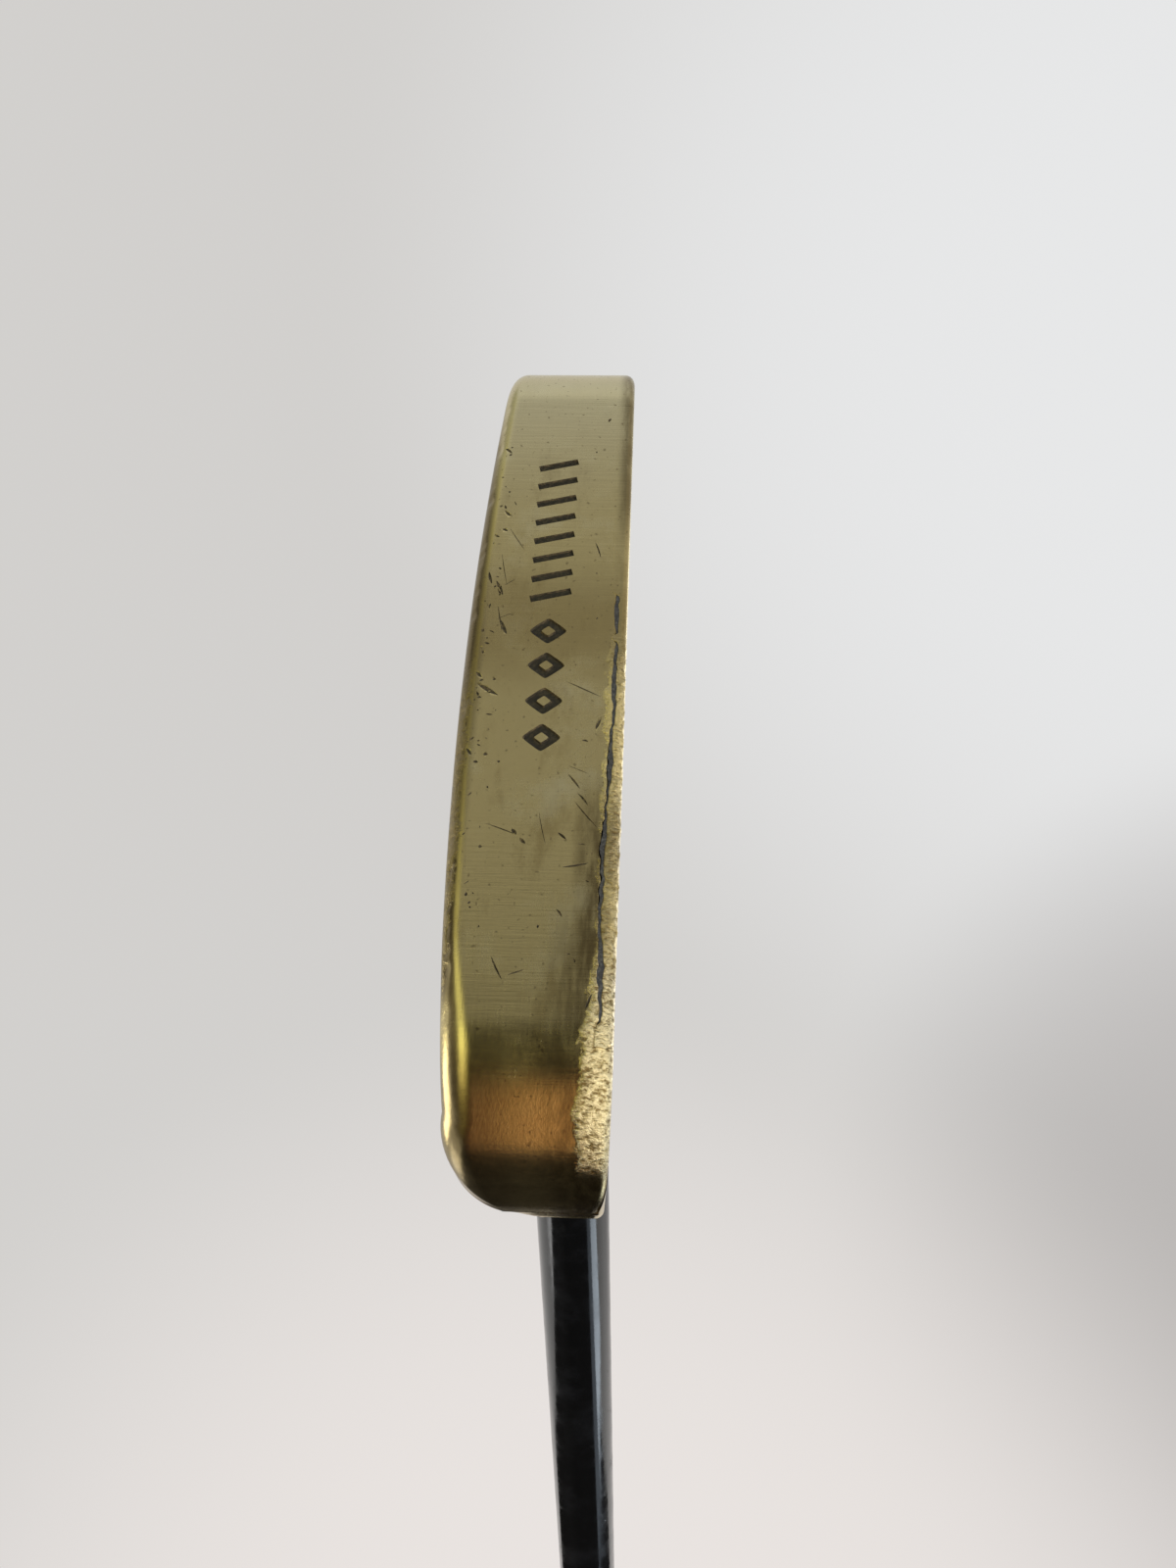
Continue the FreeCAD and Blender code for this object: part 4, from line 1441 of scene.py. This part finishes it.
@dataclass
class ShaftAxis:
    """The shaft's axis, and the heights along it where its pieces start and end, in millimetres."""

    foot: Vector
    way: Vector
    tip_radius: float = 4.7
    butt_radius: float = 7.35
    wall: float = 0.5
    shoulder: float = 0.25
    neck_rise: float = 3.2
    post_length: float = 26.0
    heel_height: float = 23.5
    tip_run: float = 230.0
    steps: int = 9
    step_pitch: float = 38.0
    step_cone: float = 1.6
    club: float = 889.0
    cap: float = 4.0
    grip_length: float = 267.0

    @classmethod
    def from_frame(cls) -> "ShaftAxis":
        """Read the axis from the vent at the butt, which lies on it."""
        vent = next(m for m in frame["record"]["mounts"] if m["name"] == "butt_vent")
        way = Vector(vent["axis"]).normalized()
        place = Vector(vent["pos_m"]) / MM
        return cls(foot=place - way * (place.z / way.z), way=way)

    def __post_init__(self) -> None:
        """Work out the heights that follow from the sizes."""
        self.neck_top = (self.heel_height + self.neck_rise) / math.sin(self.lie())
        self.post_top = self.neck_top + self.post_length
        self.shaft_top = self.club - self.cap
        self.grip_start = self.club - self.grip_length

    def lie(self) -> float:
        """The shaft's angle to the ground, in radians."""
        return math.asin(self.way.z)

    def place(self, across: Array, side: Array, height: Array) -> Array:
        """Points at (across, side, height) in the shaft's own frame, moved into the row's frame.

        Across runs away from the player at zero lean, side runs to the back, height runs up the axis.

        Args:
            across: millimetres along the shaft's local X.
            side: millimetres along the shaft's local Y.
            height: millimetres up the axis from the ground.

        Returns:
            The points, (..., 3).
        """
        local_x = np.array([self.way.z, 0.0, -self.way.x])
        local_y = np.array([0.0, 1.0, 0.0])
        return (np.array(self.foot) + across[..., None] * local_x + side[..., None] * local_y
                + height[..., None] * np.array(self.way))

    def turned(self, name: str, profile: Array, around: int) -> Solid:
        """Turn a profile about the axis.

        Args:
            name: the object's name.
            profile: (points, 2) as (radius, height), a ring that closes on itself.
            around: points round the axis.

        Returns:
            The closed surface.
        """
        turn = np.linspace(0, 2 * math.pi, around, endpoint=False)
        radius, height = profile[:, :1], profile[:, 1:]
        loops = self.place(radius * np.cos(turn), radius * np.sin(turn), height)
        return build_piece(name, loops, closed=True)


@dataclass
class Shaft:
    """The stepped steel tube, seated on the neck."""

    axis: ShaftAxis
    lip: float = 0.25
    around: int = 96

    def feet(self) -> Array:
        """The height where each step starts."""
        axis = self.axis
        return axis.neck_top + axis.tip_run + axis.step_pitch * np.arange(axis.steps)

    def radius(self, height: Array) -> Array:
        """Outside radius: the tip's, plus an equal smooth rise at each step.

        Formula: tip + sum over k of rise * smooth((height - foot_k) / cone).

        Args:
            height: heights up the axis.

        Returns:
            The radius at each height.
        """
        axis = self.axis
        rise = (axis.butt_radius - axis.tip_radius) / axis.steps
        climbed = smooth(0.0, axis.step_cone, height[:, None] - self.feet()[None, :])
        return axis.tip_radius + rise * climbed.sum(-1)

    def build(self) -> Solid:
        """Make the tube, wall and all, and hand it over dressed."""
        axis, lip = self.axis, self.lip
        cones = (self.feet()[:, None] + np.linspace(-0.2, axis.step_cone + 0.2, 9)).ravel()
        runs = np.linspace(axis.neck_top + lip, axis.shaft_top, 70)
        height = np.unique(np.concatenate([runs, cones]))
        outside = self.radius(height)
        turn = np.radians(np.linspace(90, 0, 5))[:-1]
        lip_rows = np.stack([axis.tip_radius - lip + lip * np.cos(turn),
                             axis.neck_top + lip - lip * np.sin(turn)], -1)
        inner = np.stack([outside - axis.wall, height], -1)[:0:-1]
        foot = [[axis.tip_radius - axis.wall, axis.neck_top]]
        profile = np.concatenate([lip_rows, np.stack([outside, height], -1), inner, foot])
        tube = axis.turned("stepped_shaft", profile, self.around)
        dress(tube, ShaftFinish("shaft_gloss_black"))
        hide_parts("shaft")
        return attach(tube, ROOT)


@dataclass
class GripForm:
    """The grip's section: round, with one flat for the thumbs, both growing towards the butt."""

    axis: ShaftAxis
    bore: float = 7.55
    low_radius: float = 9.4
    butt_radius: float = 13.2
    collar: float = 14.0
    flat_low: float = 8.3
    flat_butt: float = 10.8
    edge_blend: float = 0.16

    def radius(self, height: Array) -> Array:
        """The round part's radius: level along the collar, then a straight taper."""
        start = self.axis.grip_start + self.collar
        share = np.clip((height - start) / (self.axis.shaft_top - start), 0.0, 1.0)
        return self.low_radius + share * (self.butt_radius - self.low_radius)

    def flat(self, height: Array) -> Array:
        """How far the thumb flat lies from the axis."""
        share = (height - self.axis.grip_start) / self.axis.grip_length
        return self.flat_low + share * (self.flat_butt - self.flat_low)

    def section(self, radius: Array, flat: Array, turn: Array, shrink: Array) -> tuple[Array, Array]:
        """A section of the grip, drawn in by shrink all round.

        The radius at each angle is the soft minimum of the circle's and of the flat's, flat / cos(angle
        from the flat's middle).

        Args:
            radius: the circle's radius at each height, (heights, 1).
            flat: the flat's distance at each height, (heights, 1).
            turn: angles round the axis, 0 at the middle of the flat.
            shrink: how far the surface is drawn in, (heights, angles) or (heights, 1).

        Returns:
            Across and side, each (heights, angles).
        """
        away = np.cos(turn)[None]
        reach = np.where(away > 0.2, (flat - shrink) / np.maximum(away, 0.2), 1e3)
        size = soft_min(reach, (radius - shrink) + 0 * away, self.edge_blend)
        return -size * np.cos(turn), size * np.sin(turn)


@dataclass
class Grip:
    """The moulded rubber grip, with fine ribs round its back and a lattice on the thumb flat.

    Two rings near its low end are each (millimetres up, half width, depth).
    """

    form: GripForm
    heights: int = 470
    around: int = 168
    fit: float = 0.02
    low_lip: float = 1.0
    rings: tuple = ((15.5, 0.6, 0.35), (11.5, 0.35, 0.15))
    lattice_pitch: float = 4.0
    lattice_deep: float = 0.30
    rib_pitch: float = 2.6
    rib_deep: float = 0.22
    pattern_start: float = 19.0
    pattern_end: float = 250.0
    plain_pitch: float = 56.0
    frame_turn: float = 0.70
    frame_deep: float = 0.25

    def pattern(self, up: Array, turn: Array, radius: Array) -> Array:
        """How deep the mould's pattern is cut at each place.

        On the flat a lattice of crossing grooves, from cos a cos b with a and b along two diagonals;
        round the back, ribs that follow cos(2 pi up / pitch); both stop at plain bands.

        Args:
            up: millimetres from the grip's low end, (heights, 1).
            turn: angle from the middle of the flat, (1, angles), from -pi to pi.
            radius: the circle's radius, (heights, 1).

        Returns:
            The depth in millimetres, (heights, angles).
        """
        girth = turn * radius
        off = np.abs(turn)
        crossing = np.cos(2 * math.pi * (up + girth) / self.lattice_pitch)
        crossing = crossing * np.cos(2 * math.pi * (up - girth) / self.lattice_pitch)
        lattice = smooth(0.15, 0.75, crossing) * self.lattice_deep * smooth(0.62, 0.54, off)
        ribs = smooth(0.1, 0.9, np.cos(2 * math.pi * up / self.rib_pitch)) * self.rib_deep
        ribs = ribs * smooth(1.05, 1.20, off) * smooth(2.95, 2.80, off)
        start, end = self.pattern_start, self.pattern_end
        ends = smooth(start, start + 3.0, up) * smooth(end, end - 4.0, up)
        beat = np.cos(2 * math.pi * (up - start - 3.0) / self.plain_pitch)
        bands = 1 - smooth(0.955, 0.985, beat) * smooth(30.0, 40.0, up)
        return ends * (bands * (lattice + ribs) + self.frame_deep * bump(self.frame_turn, 0.035, off))

    def build(self) -> Solid:
        """Make the grip and hand it over dressed."""
        form, axis = self.form, self.form.axis
        turn = np.linspace(-math.pi, math.pi, self.around, endpoint=False)
        height = np.linspace(axis.grip_start, axis.shaft_top, self.heights)[:, None]
        radius, flat = form.radius(height), form.flat(height)
        up = height - axis.grip_start
        lip = self.low_lip * drop(np.clip(1 - up / self.low_lip, 0.0, 1.0))
        rings = sum(deep * bump(middle, width, up) for middle, width, deep in self.rings)
        across, side = form.section(radius, flat, turn, lip + rings + self.pattern(up, turn[None], radius))
        outer = axis.place(across, side, height)
        ends = np.array([[axis.shaft_top], [axis.grip_start]])
        bore = form.bore + self.fit
        inner = axis.place(-bore * np.cos(turn) + 0 * ends, bore * np.sin(turn) + 0 * ends, ends)
        grip = build_piece("rubber_grip", np.concatenate([outer, inner]), closed=True)
        dress(grip, RubberFinish("rubber_black"))
        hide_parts("grip")
        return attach(grip, ROOT)


@dataclass
class GripCap:
    """The end cap: it carries on the grip's section, with two rings round its vent.

    A ring in its face is (radius, half width, depth).
    """

    form: GripForm
    spigot: float = 10.0
    spigot_fit: float = 0.1
    vent: float = 1.6
    rim: float = 1.3
    seam: float = 0.14
    rings: tuple = ((8.6, 0.45, 0.35), (4.6, 0.4, 0.28))
    dished: float = 0.10
    around: int = 144

    def profile(self) -> Array:
        """Rows of (radius, height) from the seam over the rim and the dished face, down the vent and back.

        Returns:
            The rows, a ring that closes on itself, (points, 2).
        """
        axis, rim, vent = self.form.axis, self.rim, self.vent
        low, top = axis.shaft_top, axis.club
        edge = self.form.butt_radius
        inner = axis.butt_radius - axis.wall - self.spigot_fit
        side = [(edge - 0.12, low + 0.01), (edge, low + 0.16), (edge, low + 1.0),
                (edge - self.seam, low + 1.25), (edge - self.seam, low + 1.45), (edge, low + 1.7)]
        bend = np.radians(np.linspace(0, 90, 9))
        rounded = [(edge - rim + rim * math.cos(a), top - rim + rim * math.sin(a)) for a in bend]
        face = np.linspace(edge - rim - 0.3, vent + 0.4, 70)
        dish = sum(deep * bump(middle, width, face) for middle, width, deep in self.rings)
        dish = dish + self.dished * smooth(8.0, 2.0, face)
        hole = [(vent + 0.08, top - 0.30), (vent, top - 0.6), (vent, low - self.spigot)]
        under = [(inner - 0.3, low - self.spigot), (inner, low - self.spigot + 0.3), (inner, low)]
        return np.array(side + rounded + list(zip(face, top - dish)) + hole + under)

    def build(self) -> Solid:
        """Make the cap, flat side and all, and hand it over dressed."""
        form, axis = self.form, self.form.axis
        turn = np.linspace(-math.pi, math.pi, self.around, endpoint=False)
        radius, height = np.split(self.profile(), 2, axis=1)
        flat = form.flat(np.clip(height, axis.shaft_top, axis.club))
        edge = np.full_like(radius, form.butt_radius)
        across, side = form.section(edge, flat, turn, edge - radius)
        round_x, round_y = -radius * np.cos(turn), radius * np.sin(turn)
        shaped = smooth(form.flat_low - 1.6, form.flat_low + 1.2, radius)
        across = round_x + (across - round_x) * shaped
        side = round_y + (side - round_y) * shaped
        cap = build_piece("end_cap", axis.place(across, side, height), closed=True)
        dress(cap, CAP_RUBBER)
        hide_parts("grip_cap")
        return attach(cap, ROOT)


# ---------------------------------------------------------------- studio

@dataclass
class Studio:
    """Pale floor, soft light from all round, and the camera below the heel that looks up the shaft.

    A sky patch is (direction, degrees from its middle to its edge, strength, colour); the bands give
    colours by the angle from straight down, in degrees, which is positive towards the toe.
    """

    eye: tuple = (0.1015, -0.0144, -0.1468)
    sight: tuple = (-0.51092, 0.04861, 0.85825)
    picture_up: tuple = (-0.85872, 0.01708, -0.51216)
    lens: float = 33.93
    sensor: float = 36.0
    floor_radius: float = 30.0
    floor_below: float = 0.0004
    floor_pale: tuple = (0.90, 0.90, 0.895, 1.0)
    sky: tuple = (0.645, 0.632, 0.615, 1.0)
    sky_patches: tuple = (
        ((-0.70, -0.35, 0.62), 34, 1.0, (0.80, 0.805, 0.81, 1.0)),
        ((-0.22, -0.40, 0.89), 19, 0.75, (0.44, 0.42, 0.41, 1.0)),
        ((0.10, 0.03, 0.99), 30, 1.0, (0.82, 0.775, 0.75, 1.0)),
    )
    amber: tuple = (0.95, 0.55, 0.30, 1.0)
    toe_far: tuple = (0.55, 0.53, 0.49, 1.0)
    toe_near: tuple = (0.17, 0.155, 0.135, 1.0)
    heel_glow: tuple = (2.3, 2.2, 1.9, 1.0)
    far_back: tuple = (0.13, 0.115, 0.09, 1.0)
    table_bands: tuple = (
        (-128, (0.012, 0.009, 0.007)), (-104, (0.03, 0.018, 0.010)), (-90, (0.10, 0.048, 0.022)),
        (-66, (0.095, 0.037, 0.017)), (-42, (0.080, 0.034, 0.016)), (-28, (0.035, 0.022, 0.014)),
        (-14, (0.019, 0.017, 0.015)), (5, (0.036, 0.034, 0.031)), (15, (0.075, 0.072, 0.066)),
        (23, (0.19, 0.19, 0.18)), (25.5, (0.38, 0.38, 0.37)), (28, (0.50, 0.50, 0.49)),
        (30.5, (0.46, 0.46, 0.45)), (33, (0.38, 0.38, 0.37)), (36.5, (0.235, 0.235, 0.24)),
        (40, (0.35, 0.35, 0.35)), (45, (0.47, 0.48, 0.48)), (52, (0.68, 0.69, 0.69)),
        (90, (0.60, 0.61, 0.62)),
    )
    rear_bands: tuple = (
        (-80, (0.04, 0.03, 0.012)), (-45, (0.55, 0.48, 0.20)), (-25, (2.1, 2.0, 0.90)),
        (0, (2.1, 2.1, 1.00)), (12, (1.3, 1.3, 0.66)), (22, (0.80, 0.80, 0.44)),
        (30, (0.90, 0.90, 0.50)), (42, (0.55, 0.55, 0.36)), (60, (0.40, 0.40, 0.32)),
    )

    def camera(self) -> None:
        """Place the camera: its own Z looks back along the sight line, and its Y is the picture's up."""
        data = bpy.data.cameras.new("camera")
        data.lens, data.sensor_width = self.lens, self.sensor
        data.clip_start, data.clip_end = 0.005, 20.0
        back = -Vector(self.sight).normalized()
        right = Vector(self.picture_up).cross(back).normalized()
        up = back.cross(right)
        camera = bpy.data.objects.new("camera", data)
        turn = Matrix((right, up, back)).transposed().to_4x4()
        camera.matrix_world = Matrix.Translation(self.eye) @ turn
        bpy.context.scene.collection.objects.link(camera)
        bpy.context.scene.camera = camera

    def world(self) -> None:
        """Light from all round, by direction: pale above, and a graded light table below the sole."""
        world = bpy.data.worlds.new("studio")
        bpy.context.scene.world = world
        world.use_nodes = True
        bench = NodeBench(world.node_tree)
        way = bench.add("TexCoord").outputs["Generated"]
        axis = bench.add("SeparateXYZ", {0: way}).outputs
        above = bench.coat(self.sky, [(self.lobe(bench, way, towards, spread), strength, colour)
                                      for towards, spread, strength, colour in self.sky_patches])
        light = bench.mix(bench.ramp(axis[2], -0.13, -0.02), self.table(bench, axis), above)
        shade = bench.add("Background", {"Color": light, "Strength": 1.0})
        bench.add("OutputWorld", {"Surface": shade.outputs[0]})

    def lobe(self, bench: NodeBench, way: Socket, towards: tuple, spread: float) -> Socket:
        """A soft round patch of sky: 1 towards a direction, 0 at spread degrees from it."""
        aim = bench.add("VectorMath", {0: way, 1: tuple(Vector(towards).normalized())},
                        operation="DOT_PRODUCT").outputs["Value"]
        return bench.ramp(aim, math.cos(math.radians(spread)), 1.0)

    def table(self, bench: NodeBench, axis: Axes) -> Socket:
        """What the sole sees: bands by the angle from straight down, and other light ahead and behind.

        Args:
            bench: the world's bench.
            axis: the three parts of the direction looked in.

        Returns:
            The colour of the light from below.
        """
        toeward = bench.times(axis[0], -1.0)
        down = bench.times(axis[2], -1.0)
        angle = bench.math("ARCTAN2", toeward, down)
        light = self.bands(bench, angle, self.table_bands)
        to_heel = bench.ramp(angle, math.radians(-18), math.radians(-46))
        toe_light = bench.mix(bench.ramp(axis[0], -0.46, -0.64), self.toe_near, self.toe_far)
        ahead_light = bench.mix(bench.ramp(axis[0], -0.22, 0.02), toe_light, self.heel_glow)
        rear = bench.times(bench.ramp(axis[1], 0.30, 0.44), bench.ramp(axis[1], 0.80, 0.66))
        return bench.coat(light, [
            (bench.ramp(axis[1], 0.085, 0.040), to_heel, self.amber),
            (bench.ramp(axis[1], -0.14, -0.45), 1.0, ahead_light),
            (rear, 1.0, self.bands(bench, angle, self.rear_bands)),
            (bench.ramp(axis[1], 0.66, 0.80), 1.0, self.far_back),
        ])

    def bands(self, bench: NodeBench, angle: Socket, stops: Bands) -> Socket:
        """Colours laid out over an angle, each fading into the next.

        Args:
            bench: the world's bench.
            angle: the angle, in radians.
            stops: (degrees, colour), by rising angle.

        Returns:
            The colour at the angle.
        """
        low, high = -130.0, 100.0
        share = bench.add("MapRange", {0: angle, 1: math.radians(low), 2: math.radians(high)}).outputs[0]
        ramp = bench.add("ValToRGB", {0: share})
        marks = ramp.color_ramp.elements
        for number, (degrees, colour) in enumerate(stops):
            spot = (degrees - low) / (high - low)
            mark = marks[number] if number < 2 else marks.new(spot)
            mark.position = spot
            mark.color = (*colour, 1.0)
        return ramp.outputs[0]

    def stage_flat(self, name: str, corners: list, unseen: tuple[str, ...]) -> NodeBench:
        """Add a flat piece of the studio.

        Args:
            name: the piece's name.
            corners: its corners in order, in metres.
            unseen: the kinds of ray that pass it by.

        Returns:
            The bench of its material, still empty.
        """
        mesh = bpy.data.meshes.new(name)
        mesh.from_pydata(corners, [], [tuple(range(len(corners)))])
        flat = bpy.data.objects.new(name, mesh)
        bpy.context.scene.collection.objects.link(flat)
        for ray in unseen:
            setattr(flat, "visible_" + ray, False)
        material = bpy.data.materials.new(name)
        material.use_nodes = True
        mesh.materials.append(material)
        return NodeBench(material.node_tree)

    def floor(self) -> None:
        """A round pale floor just under the sole, seen from above only, that catches the shadow."""
        turn = np.linspace(0, 2 * math.pi, 96, endpoint=False)
        ring = xyz(self.floor_radius * np.cos(turn), self.floor_radius * np.sin(turn), -self.floor_below)
        bench = self.stage_flat("floor", ring.tolist(), ("diffuse", "glossy", "transmission", "shadow"))
        pale = bench.add("BsdfDiffuse", {"Color": self.floor_pale}).outputs[0]
        clear = bench.add("BsdfTransparent").outputs[0]
        under = bench.add("NewGeometry").outputs["Backfacing"]
        mixed = bench.add("MixShader", {0: under, 1: pale, 2: clear}).outputs[0]
        bench.add("OutputMaterial", {"Surface": mixed})

    def card(self, name: str, centre: tuple, towards: tuple, size: tuple[float, float], light: tuple) -> None:
        """A studio card that only reflections see.

        Args:
            name: the card's name.
            centre: its middle, in metres.
            towards: the point that it faces.
            size: width and height in metres.
            light: the light it gives, as a colour; nearly black for a flag.
        """
        middle = Vector(centre)
        turn = (Vector(towards) - middle).to_track_quat("Z", "Y").to_matrix()
        quarters = [(-0.5, -0.5), (0.5, -0.5), (0.5, 0.5), (-0.5, 0.5)]
        corners = [middle + turn @ Vector((a * size[0], b * size[1], 0)) for a, b in quarters]
        bench = self.stage_flat(name, corners, ("camera", "diffuse", "transmission", "shadow"))
        glow = bench.add("Emission", {"Color": (*light, 1.0), "Strength": 1.0})
        bench.add("OutputMaterial", {"Surface": glow.outputs[0]})

    def lamp(self, name: str, place: tuple, towards: tuple, size: float, power: float) -> None:
        """A large soft area light.

        Args:
            name: the lamp's name.
            place: where it hangs, in metres.
            towards: the point that it lights.
            size: the side of its square, in metres.
            power: in watts.
        """
        data = bpy.data.lights.new(name, "AREA")
        data.size, data.energy = size, power
        lamp = bpy.data.objects.new(name, data)
        lamp.location = place
        lamp.rotation_mode = "QUATERNION"
        lamp.rotation_quaternion = (Vector(towards) - Vector(place)).to_track_quat("-Z", "Y")
        lamp.visible_camera = False
        bpy.context.scene.collection.objects.link(lamp)

    def build(self) -> None:
        """Set up the whole studio."""
        bpy.context.scene.view_settings.view_transform = "Standard"
        self.camera()
        self.world()
        self.floor()
        club = (0.1, 0, 0.3)
        self.lamp("key", (-0.9, -1.1, 1.5), club, 0.9, 9.5)
        self.lamp("fill", (1.3, 1.2, 1.2), club, 1.2, 6.0)
        heel, shaft = (0.055, 0.0, 0.01), (0.06, -0.004, 0.06)
        self.card("heel_flag", (0.45, 0.02, 0.36), (0.055, 0.0, 0.10), (0.62, 0.98), (0.014, 0.012, 0.011))
        self.card("shaft_card", (0.295, -0.285, 0.43), shaft, (0.10, 0.16), (2.3, 2.6, 2.9))
        self.card("shaft_card_soft", (0.368, -0.250, 0.463), shaft, (0.10, 0.20), (0.40, 0.46, 0.53))
        self.card("heel_card", (0.085, 0.47, 0.16), heel, (0.22, 0.26), (6.0, 5.9, 5.0))


def dress_hidden_nodes() -> None:
    """Give the pieces inside the shaft and the grip, which stay as the frame has them, their finishes."""
    for node, finish in {"shaft_epoxy": EPOXY, "grip_tape": TAPE}.items():
        paint(frame["nodes"][node], finish)
        log.info("%s: frame piece, dressed", node)


def report(piece: Solid) -> None:
    """Log a piece's size."""
    log.info("%s: %d faces", piece.name, len(piece.data.polygons))


def main() -> None:
    """Build every sub-assembly in order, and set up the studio."""
    logging.basicConfig(level=logging.INFO, format="%(name)s %(message)s")
    axis = ShaftAxis.from_frame()
    head = BladeHead.from_frame()
    report(head.build(axis))
    plate = FacePlate(head.form)
    report(plate.build())
    report(BondStrip(head.form, plate).build())
    report(SoleMarks().build())
    report(SightLine(head.form).build())
    report(Shaft(axis).build())
    form = GripForm(axis)
    report(Grip(form).build())
    report(GripCap(form).build())
    dress_hidden_nodes()
    Studio().build()


if __name__ == "__main__":
    main()
